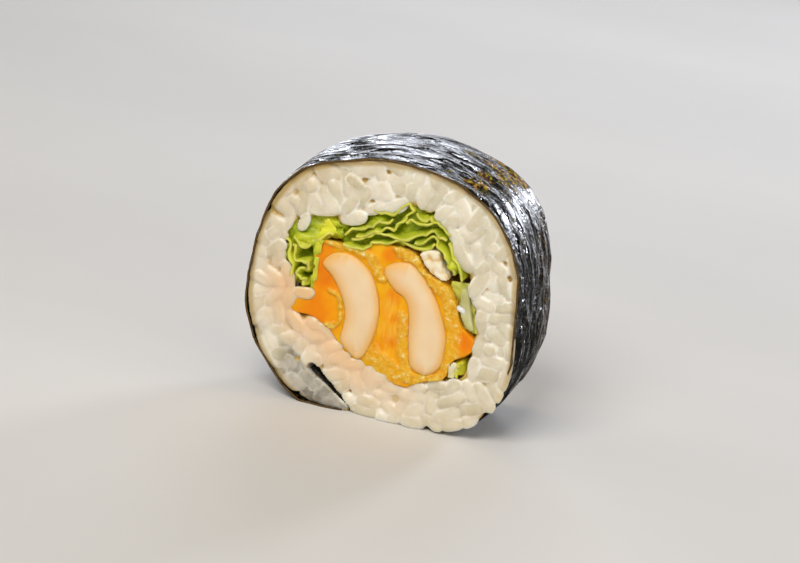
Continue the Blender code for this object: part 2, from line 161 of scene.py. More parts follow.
def inside(spots, line):
    """Which of the spots lie inside the closed line."""
    x, z = line[:, 0][None, :], line[:, 1][None, :]
    x2, z2 = np.roll(line[:, 0], -1)[None, :], np.roll(line[:, 1], -1)[None, :]
    px, pz = spots[:, 0][:, None], spots[:, 1][:, None]
    crosses = (z > pz) != (z2 > pz)
    at = x + (pz - z) / np.where(z2 == z, 1e-9, z2 - z) * (x2 - x)
    return (crosses & (px < at)).sum(axis=1) % 2 == 1


def to_line(spots, line):
    """The distance from each spot to the nearest point of the line."""
    return np.sqrt(((spots[:, None, :] - line[None, :, :]) ** 2).sum(axis=2)).min(axis=1)


def from_corner(degrees, corner):
    """How many degrees past the corner this direction lies, between -180 and 180."""
    return (degrees - corner + 180.0) % 360.0 - 180.0


def smoothstep(low, high, value):
    t = np.clip((value - low) / (high - low), 0.0, 1.0)
    return t * t * (3.0 - 2.0 * t)


def wobble(seed, *spot):
    """Smooth noise between -1 and 1 at a spot given in its own wavelengths."""
    return noise.noise(Vector(spot) + Vector((seed * 17.3, seed * 5.1, seed * 9.7)))


# %% From the section to the slice
def outline_radius(degrees):
    spot = (degrees / 360.0 * len(OUTLINE_RADII)) % len(OUTLINE_RADII)
    return spline(*(OUTLINE_RADII[(int(spot) + k) % len(OUTLINE_RADII)] for k in (-1, 0, 1, 2)), spot % 1.0)


def tucked_in(degrees):
    """How far the belly is missing, from 0 to 1: the lower right side runs straight back from the cut."""
    return np.exp(-((from_corner(np.asarray(degrees), -45.0) / 34.0) ** 2))


def outline_point(degrees, along, inset=0.0):
    """A point (across, up) of the roll's outside, moved in by the inset."""
    swell = BELLY * (1.0 - (along / CUT) ** 2) * (1.0 - tucked_in(degrees))
    radius = outline_radius(degrees) + swell - inset
    angle = math.radians(degrees)
    return radius * math.cos(angle), max(radius * math.sin(angle), inset - AXIS_HEIGHT)


def bundle_point(across, up, along):
    """A point (across, up) of the fillings at this distance along the axis."""
    share = min(1.0, max(0.0, along / THICKNESS + 0.5))
    turn = TWIST * share
    x = across * math.cos(turn) - up * math.sin(turn) + DRIFT[0] * share
    z = across * math.sin(turn) + up * math.cos(turn) + DRIFT[1] * share
    phase = 2.0 * math.pi / RIPPLE_LENGTH
    x += RIPPLE * math.sin(phase * (along + 0.8 * up))
    z += RIPPLE * math.sin(phase * (along + 0.7 * across) + 1.0)
    return x, z


def bundled(line):
    """The line of a filling, as a function of the distance along the axis."""
    return lambda along: [bundle_point(p[0], p[1], along) for p in line]


def place(across, along, up):
    """A point in metres on the standing slice."""
    return Vector((across, along, up + AXIS_HEIGHT)) * MM


def section_of(v):
    """(across, along, up) in mm of a vertex on the slice, with the fillings' twist taken out."""
    x, y, z = v.co.x / MM, v.co.y / MM, v.co.z / MM - AXIS_HEIGHT
    share = min(1.0, max(0.0, y / THICKNESS + 0.5))
    turn = -TWIST * share
    x, z = x - DRIFT[0] * share, z - DRIFT[1] * share
    return x * math.cos(turn) - z * math.sin(turn), y, x * math.sin(turn) + z * math.cos(turn)


print("section:", len(OUTLINE_RADII), "radii,", f"{outline_radius(0):.1f} mm at the right")


# %% Finishing a piece
def write_marks(bm, **marks):
    """Keeps marks as vertex attributes that the materials read, each one value or one for each vertex."""
    for mark, values in marks.items():
        layer = bm.verts.layers.float.new(mark)
        for v, value in zip(bm.verts, np.broadcast_to(values, len(bm.verts))):
            v[layer] = float(value)


def finish_piece(name, bm, finish, slot, *nodes):
    """Turns the bmesh into a piece that rides on the slice and stands for the named nodes."""
    mesh = bpy.data.meshes.new(name)
    bm.to_mesh(mesh)
    bm.free()
    mesh.materials.append(finish)
    mesh.shade_smooth()
    piece = bpy.data.objects.new(name, mesh)
    bpy.context.scene.collection.objects.link(piece)
    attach(piece, "root")
    if nodes:
        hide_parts(*nodes)
    return piece


def give_wall(sheet, thickness, offset):
    """Gives a sheet its thickness in mm: offset 0 is half to each side, and -1 all inwards."""
    wall = sheet.modifiers.new("wall", "SOLIDIFY")
    wall.thickness = thickness * MM
    wall.offset = offset


# %% [markdown]
# ## Nori
#
# Nori is seaweed pressed and dried into a sheet about 0.3 mm thick. On damp rice it shrinks and
# crinkles, and the crinkles run round the roll, because that is the way it was pulled tight. It could
# be a plain band with a bump texture, but its highlights are broken up by real folds, so the sheet is
# a fine grid that is wrapped along the spiral and pushed in and out by long narrow noise. Dry nori is
# nearly black and shines where it is tight. Where it is thin it lets through an olive and amber light.

# %% Nori finish: pressed dried seaweed
# A near black skin gives the eye sharp broken glints, and flecks of olive and amber between them.
nori_finish, tree, shader = new_finish("dried_seaweed_sheet")
# The UV map holds millimetres round the roll and along it, divided by 100.
uv = add(tree, "UVMap", {"uv_map": "sheet"})
pattern = {}
for name, around, across, detail, roughness, shift in (
    # How many mm the features are long round the roll and wide across it, then the noise's settings.
    ("streak", 5.0, 2.6, 1.5, 0.45, 0.0),
    ("fleck", 0.9, 1.5, 2.0, 0.6, 3.0),
    ("worn", 5.0, 2.4, 3.0, 0.6, 7.0),
    ("blotch", 4.0, 3.4, 4.0, 0.7, 11.0),
):
    size = (100.0 / around, 100.0 / across, 1.0)
    spread = add(tree, "Mapping", Vector=uv, Location=(shift, shift, 0.0), Scale=size)
    pattern[name] = add(tree, "TexNoise", Vector=spread, Scale=1.0, Detail=detail, Roughness=roughness)
tone = {
    name: add(tree, "ValToRGB", {"stops": stops}, Fac=pattern["fleck"])
    for name, stops in {
        "black": ((0.3, "#040303"), (0.55, "#0a0907"), (0.64, "#1c190c"), (0.72, "#5c5618")),
        "brown": ((0.34, "#0a0703"), (0.5, "#281a09"), (0.66, "#5e4210")),
        "amber": ((0.35, "#1a1004"), (0.45, "#5c3c0a"), (0.55, "#a27018"), (0.67, "#dcac3c")),
        "olive": ((0.35, "#131304"), (0.45, "#4a460a"), (0.55, "#847c1e"), (0.67, "#c4be54")),
    }.items()
}
mark = {
    name: add(tree, "Attribute", {"attribute_name": name}, "Fac")
    for name in ("brown", "thin", "rim", "taut")
}
spots = add(tree, "Math", {"operation": "MULTIPLY"}, _0=pattern["blotch"], _1=mark["thin"])
glow_through_spots = add(tree, "ValToRGB", {"stops": ((0.38, "#000000"), (0.47, "#ffffff"))}, Fac=spots)
hue = add(tree, "ValToRGB", {"stops": ((0.44, "#000000"), (0.56, "#ffffff"))}, Fac=pattern["worn"])
gold = add(tree, "Mix", RGBA, 2, _0=hue, _6=tone["amber"], _7=tone["olive"])
colour = tone["black"]
# Painted light: the olive and amber patches stand for light let through the thin sheet.
for share, over in ((mark["brown"], tone["brown"]), (glow_through_spots, gold), (mark["rim"], srgb("#5e471f"))):
    colour = add(tree, "Mix", RGBA, 2, _0=share, _6=colour, _7=over)
# Flat shiny patches lie beside dull ones, so the light comes back in streaks. Where the sheet is
# stretched tight, the dull ones shine more and the relief is weaker.
dullest = add(tree, "MapRange", Value=mark["taut"], _1=0.0, _2=1.0, _3=0.85, _4=0.4)
rough = add(tree, "MapRange", Value=pattern["worn"], _1=0.42, _2=0.56, _3=0.12, _4=dullest)
clamped = {"operation": "MULTIPLY_ADD", "use_clamp": True}
papery = add(tree, "Math", clamped, _0=glow_through_spots, _1=0.6, _2=rough)
depth = add(tree, "MapRange", Value=mark["taut"], _1=0.0, _2=1.0, _3=1.0, _4=0.25)
relief = add(tree, "Bump", Strength=depth, Distance=0.0038, Height=pattern["streak"])
relief = add(tree, "Bump", Strength=depth, Distance=0.0011, Height=pattern["fleck"], Normal=relief)
plug(tree, shader, Base_Color=colour, Roughness=papery, IOR=1.36, Normal=relief)
print("finish:", nori_finish.name, "with", len(tree.nodes), "nodes")

# %% The way of the sheet round the roll
SHEET_START = ((-12.1, -18.2), (-9.4, -20.0), (-6.5, -22.1), (-3.1, -24.6))
SHEET_MEETS_OUTLINE = 265.0
SHEET_END = 620.0
start_line = smooth_line(SHEET_START, 8)
start_length = sum(np.linalg.norm(b - a) for a, b in zip(start_line, start_line[1:]))
turn_length = sum(
    math.dist(outline_point(a, 0.0), outline_point(a + 1.0, 0.0))
    for a in np.arange(SHEET_MEETS_OUTLINE, SHEET_END)
)
sheet_length = start_length + turn_length


def nori_turn(share):
    """The angle round the roll at this share of the sheet, or None on the stretch inside the rice."""
    past = share * sheet_length - start_length
    if past < 0.0:
        return None
    return SHEET_MEETS_OUTLINE + past / turn_length * (SHEET_END - SHEET_MEETS_OUTLINE)


def nori_place(share, along):
    """(across, up) of the sheet's outer face at this share of its length."""
    turn = nori_turn(share)
    if turn is not None:
        return outline_point(turn, along)
    spot = share * sheet_length / start_length * (len(start_line) - 1)
    i = min(int(spot), len(start_line) - 2)
    return tuple(start_line[i] + (start_line[i + 1] - start_line[i]) * (spot - i))


def swells_over(degrees):
    """How far the rice swells over the sheet's front edge: 1 below, 0 at the sides and above."""
    return np.exp(-((((np.asarray(degrees) % 360.0) - 298.0) / 37.0) ** 6))


def front_edge(share):
    """Where the sheet ends at the front cut: short of it inside the rice and where the rice swells over."""
    turn = nori_turn(share)
    return CUT - 0.8 if turn is None else CUT + 0.2 - 2.2 * swells_over(turn)


# %% How the sheet looks from place to place
# Places where it is stretched tight over the grains: (degrees, width in degrees, how sleek).
TAUT = ((43.0, 11.0, 1.3), (90.0, 30.0, 0.9), (133.0, 12.0, 1.3))
# The corner, in degrees round the roll, where the light let through the sheet is painted.
GLOW_THROUGH_CORNER = 56.0
BROWN_SIDE = 10.0


def crinkle(at, along):
    """How far the sheet stands out here, in mm: creases round the roll between broader swells."""
    crease = abs(wobble(1, at / 11.0, along / 4.6, 0.0)) + 0.5 * abs(wobble(2, at / 5.0, along / 2.6, 4.0))
    return 0.18 - 0.8 * crease + 0.3 * wobble(3, at / 12.0, along / 7.0, 0.0)


def taut_at(turn, at, along):
    """How tight the sheet is stretched here, from 0 to 1."""
    if turn is None:
        return 0.0
    near = max(sleek * math.exp(-((from_corner(turn, corner) / width) ** 2)) for corner, width, sleek in TAUT)
    return min(1.0, max(0.0, near + 0.5 * near * wobble(5, at / 5.0, along / 5.0, 0.0)))


def glow_through_at(turn, at, along):
    """Where light let through the sheet is painted golden: ragged patches across it at its upper right
    corner.
    """
    if turn is None:
        return 0.55
    astray = from_corner(turn, GLOW_THROUGH_CORNER + 9.0 * wobble(21, at / 9.0, along / 6.0, 0.0))
    patchy = 0.28 + 0.012 * along + 0.3 * wobble(22, at / 7.0, along / 7.0, 0.0)
    return 0.62 + patchy * math.exp(-((astray / 10.0) ** 2))


def brown_at(turn, at, along):
    """Where it looks brown: on the right, towards the rear cut."""
    if turn is None:
        return 0.0
    return 0.9 * smoothstep(0.0, 7.0, along) * math.exp(-((from_corner(turn, BROWN_SIDE) / 42.0) ** 4))


# %% The wrapped sheet
NORI_COLUMNS = 460
NORI_ROWS = 70
RIM = 0.015  # the share of the sheet's width that is its rough edge
bm = bmesh.new()
bmesh.ops.create_grid(bm, x_segments=NORI_COLUMNS, y_segments=NORI_ROWS, size=0.5)
uv_layer = bm.loops.layers.uv.new("sheet")
spots_of = {}
marks = {"thin": [], "rim": [], "taut": [], "brown": []}
for v in bm.verts:
    share, row = v.co.x + 0.5, v.co.y * 2.0
    at = share * sheet_length
    turn = nori_turn(share)
    end = front_edge(share) if row < 0.0 else CUT + 0.2
    along = row * (end + 0.22 * wobble(4, at / 4.0, row * 0.5, 0.0))
    x, z = nori_place(share, along)
    ahead = nori_place(min(1.0, share + 0.002), along)
    behind = nori_place(max(0.0, share - 0.002), along)
    run = Vector((ahead[0] - behind[0], 0.0, ahead[1] - behind[1])).normalized()
    on_floor = z < -AXIS_HEIGHT + 0.02
    calm = 0.25 if at < start_length + 4.0 else 1.0
    for mark, look_at in (("taut", taut_at), ("thin", glow_through_at), ("brown", brown_at)):
        marks[mark].append(look_at(turn, at, along))
    marks["rim"].append(max(0.0, (abs(row) - 1.0 + RIM) / RIM) * (1.0 - swells_over(turn or 290.0)))
    lift = 0.0 if on_floor else crinkle(at, along) * calm * (1.0 - 0.5 * marks["taut"][-1])
    v.co = place(x, along, z) + Vector((run.z, 0.0, -run.x)) * lift * MM
    v.co.z = max(v.co.z, 0.0)
    spots_of[v] = (at / 100.0, along / 100.0)
for face in bm.faces:
    for loop in face.loops:
        loop[uv_layer].uv = spots_of[loop.vert]
write_marks(bm, **marks)
bmesh.ops.recalc_face_normals(bm, faces=bm.faces)
middle = place(0.0, 0.0, 0.0)
if sum(f.normal.dot(f.calc_center_median() - middle) for f in bm.faces) < 0.0:
    bmesh.ops.reverse_faces(bm, faces=bm.faces)
sheet = finish_piece("nori_sheet", bm, nori_finish, "nori", "nori")
sheet.data.set_sharp_from_angle(angle=math.radians(60.0))
give_wall(sheet, NORI_THICKNESS, -1.0)
print(f"nori: {sheet_length:.0f} mm long, {NORI_COLUMNS * NORI_ROWS} faces")

# %% [markdown]
# ## Working bodies
#
# Rice, squid and batter all start as plain closed bodies: a loop of the section that is extruded from
# station to station along the axis. A voxel remesh then turns each body into an even mesh of small
# quads, fine enough to be pushed in and out by noise, and fuses whatever overlaps into one skin.


# %% Extruded bodies
def solid(stations, *lines_at):
    """A closed stick along the stations, or a ring where a second line gives the inside."""
    bm = bmesh.new()
    place_of = bm.verts.layers.float_vector.new("place_of")
    capped = len(lines_at) == 1
    for which, line_at in enumerate(lines_at):
        count = len(line_at(stations[0]))
        circle = bmesh.ops.create_circle(bm, cap_ends=capped, segments=count, radius=2.0 - which)["verts"]
        for i, v in enumerate(circle):
            v[place_of] = (i, which, 0.0)
    if not capped:
        bmesh.ops.bridge_loops(bm, edges=bm.edges[:])
    front = bm.faces[:]
    for k in range(1, len(stations)):
        made = bmesh.ops.extrude_face_region(bm, geom=front)["geom"]
        if k > 1:
            bmesh.ops.delete(bm, geom=front, context="FACES_ONLY")
        front = [g for g in made if isinstance(g, bmesh.types.BMFace)]
        for g in made:
            if isinstance(g, bmesh.types.BMVert):
                g[place_of] = (g[place_of][0], g[place_of][1], k)
    lines = [[line_at(s) for line_at in lines_at] for s in stations]
    for v in bm.verts:
        i, which, k = (round(value) for value in v[place_of])
        v.co = place(lines[k][which][i][0], stations[k], lines[k][which][i][1])
    bmesh.ops.recalc_face_normals(bm, faces=bm.faces)
    return bm


# %% Remeshing and pushing
def remesh(bm, voxel, cut_by=()):
    """The bmesh as an even mesh of small quads, with the channels of other bmeshes cut out first."""
    bodies = []
    for source in (bm, *cut_by):
        mesh = bpy.data.meshes.new("working_body")
        source.to_mesh(mesh)
        source.free()
        bodies.append(bpy.data.objects.new("working_body", mesh))
        bpy.context.scene.collection.objects.link(bodies[-1])
    for cutter in bodies[1:]:
        cut = bodies[0].modifiers.new("channel", "BOOLEAN")
        cut.operation = "DIFFERENCE"
        cut.solver = "MANIFOLD"
        cut.object = cutter
    even = bodies[0].modifiers.new("even", "REMESH")
    even.mode = "VOXEL"
    even.voxel_size = voxel * MM
    evaluated = bodies[0].evaluated_get(bpy.context.evaluated_depsgraph_get())
    made = bmesh.new()
    made.from_mesh(evaluated.to_mesh())
    evaluated.to_mesh_clear()
    for body in bodies:
        mesh = body.data
        bpy.data.objects.remove(body)
        bpy.data.meshes.remove(mesh)
    return made


def relax(bm, rounds):
    axes = {"use_axis_x": True, "use_axis_y": True, "use_axis_z": True}
    for _ in range(rounds):
        bmesh.ops.smooth_vert(bm, verts=bm.verts, factor=0.5, **axes)


def push_out(bm, amount):
    """Moves each vertex along its normal by amount(across, along, up) in mm."""
    bm.normal_update()
    moves = [(v, v.normal * amount(*section_of(v)) * MM) for v in bm.verts]
    for v, move in moves:
        v.co += move


# %% [markdown]
# ## Rice
#
# Cooked short grain rice is about 6 mm long and 3 mm wide, blunt at the ends, moist and a little
# translucent. The grains stick together but keep their shapes. Copies of one grain that are strewn
# over the cut would float or run through each other. So the grains are thrown down at random behind
# each cut and pushed apart until they only just press on each other. Then they are fused with the mass
# behind them, so that the creases between them are soft, and the knife flattens the ones at the cut.

# %% The hollow and the places that rice keeps clear of
HOLLOW = (
    (19.4, -2.6), (17.6, 2.8), (16.2, 7.0), (13.2, 11.4), (9.6, 15.6), (6.6, 17.4), (2.8, 18.9),
    (-1.6, 16.8), (-5.2, 15.0), (-8.4, 12.0), (-13.4, 12.6), (-18.8, 10.6), (-21.3, 5.6),
    (-20.0, 0.6), (-18.2, -4.2), (-17.9, -8.6), (-12.4, -8.7), (-8.6, -11.3), (-5.2, -14.1),
    (-1.0, -15.3), (3.2, -16.8), (6.8, -17.7), (10.2, -15.7), (15.6, -14.6), (18.4, -12.0),
    (18.9, -8.8),
)
LOOSE_END = 236.0  # the angle where the sheet's loose end stands off the rice
# The straight line through the loose end: its direction outwards, and its distance from the axis in mm.
SLIT_OUTWARDS = (-0.584, -0.812)
SLIT_DISTANCE = 21.7
hollow_at_cut = bundled(smooth_line(HOLLOW, 3, closed=True))
slit = dense(start_line, closed=False)


def past_slit(spots):
    """How far the spots lie beyond the line through the sheet's loose end, in mm."""
    return SLIT_OUTWARDS[0] * spots[..., 0] + SLIT_OUTWARDS[1] * spots[..., 1] - SLIT_DISTANCE


def hollow_at(along, shrink=0.0):
    line = np.array(hollow_at_cut(along))
    if shrink:
        middle = line.mean(axis=0)
        reach = np.linalg.norm(line - middle, axis=1)[:, None]
        line = middle + (line - middle) * (1.0 - shrink / reach)
    return line


def rice_edge_at(along, inset=NORI_THICKNESS):
    """The outside of the rice, with more room by the loose end and less where it swells over the sheet."""
    over = 0.75 if along < -CUT + 2.0 else 0.0
    line = []
    for degrees in range(0, 360, 3):
        loose = 0.9 * math.exp(-((from_corner(degrees, LOOSE_END) / 16.0) ** 2))
        line.append(outline_point(degrees, along, inset + loose - over * swells_over(degrees)))
    return np.array(line)


# %% Packing the grains of one layer
GRAIN_LENGTH = 6.1
GRAIN_WIDTH = 2.95
TIGHTNESS = 0.84  # the share of its width that a grain keeps for itself
ROUNDS = 90


def scatter(count, edge, hole, draw):
    """Grains as arrays of middles, headings and tilts, dropped between the edge and the hole."""
    middles, headings, tilts = [], [], []
    while len(middles) < count:
        angle, radius = draw.uniform(0.0, 2 * math.pi), 30.0 * math.sqrt(draw.random())
        spot = np.array([[radius * math.cos(angle), radius * math.sin(angle)]])
        # The strip between the slit and the nori gets grains of its own.
        in_strip = past_slit(spot)[0] >= 0.0 and abs(spot[0, 0] + 9.5) <= 7.5
        if inside(spot, edge)[0] and not inside(spot, hole)[0] and not in_strip:
            middles.append(spot[0])
            headings.append(draw.uniform(0.0, math.pi))
            steep = draw.random() < 0.05
            tilts.append(math.radians(draw.uniform(50, 85) if steep else draw.uniform(-35, 35)))
    return np.array(middles), np.array(headings), np.array(tilts)


def pack_layer(along, count, draw):
    """Grains as (middle, heading, tilt, length, width): scattered, then pushed apart and off the walls."""
    edge, hole = dense(rice_edge_at(along)), dense(hollow_at(along, 0.7))
    middles, headings, tilts = scatter(count, edge, hole, draw)
    lengths = np.array([GRAIN_LENGTH * draw.uniform(0.82, 1.16) for _ in middles])
    widths = np.array([GRAIN_WIDTH * draw.uniform(0.88, 1.08) for _ in middles])
    reach = (lengths - widths) / 2 * np.cos(tilts)
    # Each grain is felt as three balls in a row.
    owner = np.repeat(np.arange(count), 3)
    offset = np.tile([-1.0, 0.0, 1.0], count)
    size = widths[owner] / 2 * TIGHTNESS
    numbers = np.arange(len(owner))
    for step in range(ROUNDS):
        run = np.stack([np.cos(headings), np.sin(headings)], axis=1)
        balls = middles[owner] + run[owner] * (offset * reach[owner])[:, None]
        apart = balls[:, None, :] - balls[None, :, :]
        gap = np.linalg.norm(apart, axis=2) + 1e-6
        press = np.clip(size[:, None] + size[None, :] - gap, 0.0, None)
        press[owner[:, None] == owner[None, :]] = 0.0
        push = (apart / gap[:, :, None] * press[:, :, None]).sum(axis=1) * 0.4
        held = 1.0 - 0.4 * (1.0 - swells_over(np.degrees(np.arctan2(balls[:, 1], balls[:, 0]))))
        # Each wall: its line, whether the grains stay inside it, and how much of a ball it keeps off.
        for wall_line, keep_in, room in ((edge, True, held), (hole, False, 1.0), (slit, None, 1.0)):
            away = balls[:, None, :] - wall_line[None, :, :]
            far = np.linalg.norm(away, axis=2)
            nearest = far.argmin(axis=1)
            least = far[numbers, nearest]
            direction = away[numbers, nearest] / (least[:, None] + 1e-6)
            if keep_in is None:
                need = np.clip(0.8 * size + 0.2 - least, 0.0, None)
            else:
                wrong = inside(balls, wall_line) != keep_in
                direction[wrong] *= -1.0
                need = np.where(wrong, room * size + least, np.clip(room * size - least, 0.0, None))
            push += direction * need[:, None] * 0.9
        for axis in (0, 1):
            middles[:, axis] += np.bincount(owner, push[:, axis], count) / 2.0
        side = np.stack([-run[:, 1], run[:, 0]], axis=1)
        lever = (push * side[owner]).sum(axis=1) * offset * reach[owner]
        headings += np.bincount(owner, lever, count) / (2.0 * reach**2 + 2.0)
    return list(zip(middles, headings, tilts, lengths, widths))


# %% The shape of a grain
AXIS_STEPS = 9
grain_mesh = bpy.data.meshes.new("one_grain")


def add_grain(bm, middle, along, heading, tilt, length, width, toward, tone):
    """Adds one grain with blunt ends and a gentle bend, and returns points along its axis in metres."""
    grain = bmesh.new()
    bmesh.ops.create_uvsphere(grain, u_segments=10, v_segments=8, radius=0.5)
    bend = 0.35 * math.sin(tone * 40.0)
    across, up = math.cos(heading) * math.cos(tilt), math.sin(heading) * math.cos(tilt)
    run = Vector((across, -toward * math.sin(tilt), up))
    turn = run.to_track_quat("Z", "Y").to_matrix() @ Matrix.Rotation(tone * 50.0, 3, "Z")
    at = place(middle[0], along, middle[1])
    for v in grain.verts:
        p = v.co * 2.0
        blunt = math.copysign(abs(p.z) ** 0.78, p.z)
        plump = 1.0 + 0.10 * (1.0 - p.z * p.z) + 0.06 * math.sin(3.0 * p.z + tone * 20.0)
        local = Vector((p.x * width / 2 * plump, p.y * width / 2 * 0.9 * plump, blunt * length / 2))
        local.x += bend * (p.z * p.z - 0.4)
        v.co = at + turn @ local * MM
    grain.to_mesh(grain_mesh)
    grain.free()
    bm.from_mesh(grain_mesh)
    reach = (length - width) / 2 * MM
    return [at + run * reach * step for step in np.linspace(-1.0, 1.0, AXIS_STEPS)]


# %% [markdown]
# ### Rice finish
#
# A grain is mostly water and starch, so light goes a couple of millimetres into it. Subsurface
# scattering gives that milky look, and a moist skin gives small soft highlights. Attributes on the
# mesh paint light and shade into the colour: a highlight on each grain's rim, shade in the deep gaps,
# along the nori, at the upper left and lower right and over the strip below the slit, and a warm tint
# by the batter that is partly oil and partly painted light.

# %% Rice finish: cooked short grain rice
# Light that goes in and comes out again gives soft milky grains, and the thin coat a moist glint.
rice_finish, tree, shader = new_finish("cooked_short_grain_rice")
where = add(tree, "TexCoord", None, "Object")
mark = {
    name: add(tree, "Attribute", {"attribute_name": name}, "Fac")
    for name in ("tone", "strip", "rim", "oil", "edge", "pit")
}
cloud = add(tree, "TexNoise", Vector=where, Scale=every(2.38), Detail=3.0, Roughness=0.55)
mixed = add(tree, "Math", {"operation": "MULTIPLY_ADD"}, _0=mark["tone"], _1=0.45, _2=cloud)
colour, shady = (
    add(tree, "ValToRGB", {"stops": stops}, Fac=mixed)
    for stops in (
        ((0.35, "#cec6aa"), (0.65, "#dcd5bf"), (0.95, "#e9e3d2")),
        ((0.45, "#6b6454"), (0.65, "#8f8c86"), (0.95, "#bab5a8")),
    )
)
# Painted light and shade: a shaded copy of the grain colours over the strip below the slit, a painted
# highlight on grain rims, a warm tint of oil and painted light by the batter, painted shade along the nori
# and at the upper left and lower right, and painted shade in the deep gaps.
for name, over in (
    ("strip", shady), ("rim", srgb("#fdfaf0")), ("oil", srgb("#efc696")), ("edge", srgb("#bfa368")),
    ("pit", srgb("#d2b46a")),
):
    colour = add(tree, "Mix", RGBA, 2, _0=mark[name], _6=colour, _7=over)
skin = add(tree, "TexNoise", Vector=where, Scale=every(0.769), Detail=2.0)
relief = add(tree, "Bump", Strength=0.2, Distance=0.0002, Height=skin)
plug(tree, shader, Base_Color=colour, Roughness=0.34, IOR=1.38, Normal=relief)
plug(tree, shader, Subsurface_Weight=0.85, Subsurface_Radius=(1.0, 0.8, 0.55), Subsurface_Scale=0.0018)
plug(tree, shader, Coat_Weight=0.3, Coat_Roughness=0.18)
print("finish:", rice_finish.name, "with", len(tree.nodes), "nodes")

# %% What the knife, the slit and the sheet do to the grains
# The rice is tinted warm along this line of the section: oil from the batter, and painted warm light from it.
OIL_AND_GLOW_SIDE = ((-19.0, -2.0), (-17.5, -7.0), (-12.0, -10.0), (-7.0, -13.5), (0.0, -16.5), (6.0, -18.5))
oil_and_glow_side = dense(smooth_line(OIL_AND_GLOW_SIDE, 4), closed=False)
# The knife flattens what stands out: a depth in mm before the cut, and the depth after it.
KNIFE = ((-0.4, 1.1, 2.2, 5.0), (0.0, 0.72, 1.45, 5.0))
RICE_SLAB = 7.0
SLOT_WIDTH = (0.9, 0.05)
SLOT_SIDE = np.array((0.25, 0.35))
WHOLE_TURN = range(361)
outline_table = np.array([outline_radius(degrees) for degrees in WHOLE_TURN])


def cut_rice(spots, depth, slot, toward):
    """Shapes the spots, in place, by the knife, the slit and the sheet, and returns what the marks need."""
    spots[:, 1] = toward * (CUT - np.interp(depth, *KNIFE) - 5.0 * slot * (depth < RICE_SLAB))
    # The nori holds the rice in, except where it swells over the sheet's edge.
    angles = np.degrees(np.arctan2(spots[:, 2], spots[:, 0]))
    radii = np.hypot(spots[:, 0], spots[:, 2])
    limits = np.interp(angles % 360.0, WHOLE_TURN, outline_table) - 0.75
    limits += BELLY * (1.0 - (spots[:, 1] / CUT) ** 2) * (1.0 - tucked_in(angles))
    low = swells_over(angles) if toward < 0.0 else 0.0 * angles
    limits += np.where(depth < 1.4, 0.3 + 0.8 * low, 0.0)
    # Grains that swell over the edge keep some of their roundness.
    held = limits + 0.35 * low * np.maximum(0.0, radii - limits)
    spots[:, [0, 2]] *= np.minimum(1.0, held / radii)[:, None]
    spots[:, 2] = np.maximum(spots[:, 2], 0.02 - AXIS_HEIGHT)
    return angles % 360.0, limits - radii, low


# %% The grains of one cut
# The strip between the slit and the nori: (across, up), the heading in radians, the tone.
STRIP_GRAINS = (
    ((-19.0, -18.0), -0.95, 0.6), ((-16.6, -17.8), -0.8, 0.8), ((-17.2, -21.0), -0.8, 0.0),
    ((-14.7, -19.3), -0.6, 0.5), ((-14.2, -21.5), -0.5, 1.0), ((-12.0, -20.6), -0.6, 0.8),
    ((-11.2, -23.3), -0.57, 0.1), ((-9.0, -22.3), -0.62, 0.9), ((-8.4, -24.0), -0.3, 0.25),
    ((-5.8, -23.7), -0.6, 0.7),
)
# One grain has slipped over the batter's left corner, and one over the corner of the lettuce.
SLIPPED = ((-15.4, -3.7), 0.5, 0.05, 4.6, 2.5, 0.6), ((-17.4, 9.8), 0.7, 1.2, 4.0, 2.2, 0.8)
LAYER_DEPTHS = (1.35, 2.8)


def lay_grains(toward, draw):
    """All the grains behind one cut, as add_grain takes them."""
    grains = []
    for depth, count in zip(LAYER_DEPTHS, (146, 120)):
        along = toward * (CUT - depth)
        for middle, heading, tilt, length, width in pack_layer(along, count, draw):
            sink = max(0.0, abs(math.sin(tilt)) * (length - width) / 2 - 0.5)
            y = along - toward * (draw.uniform(-0.35, 0.35) + sink)
            grains.append((middle, y, heading, tilt, length, width, toward, draw.random()))
    loose = [(spot, draw.uniform(1.0, 1.8), heading, 4.8, 2.4, tone) for spot, heading, tone in STRIP_GRAINS]
    for spot, depth, heading, length, width, tone in (*loose, *(SLIPPED if toward < 0.0 else ())):
        grains.append((spot, toward * (CUT - depth), heading, 0.1, length, width, toward, tone))
    return grains


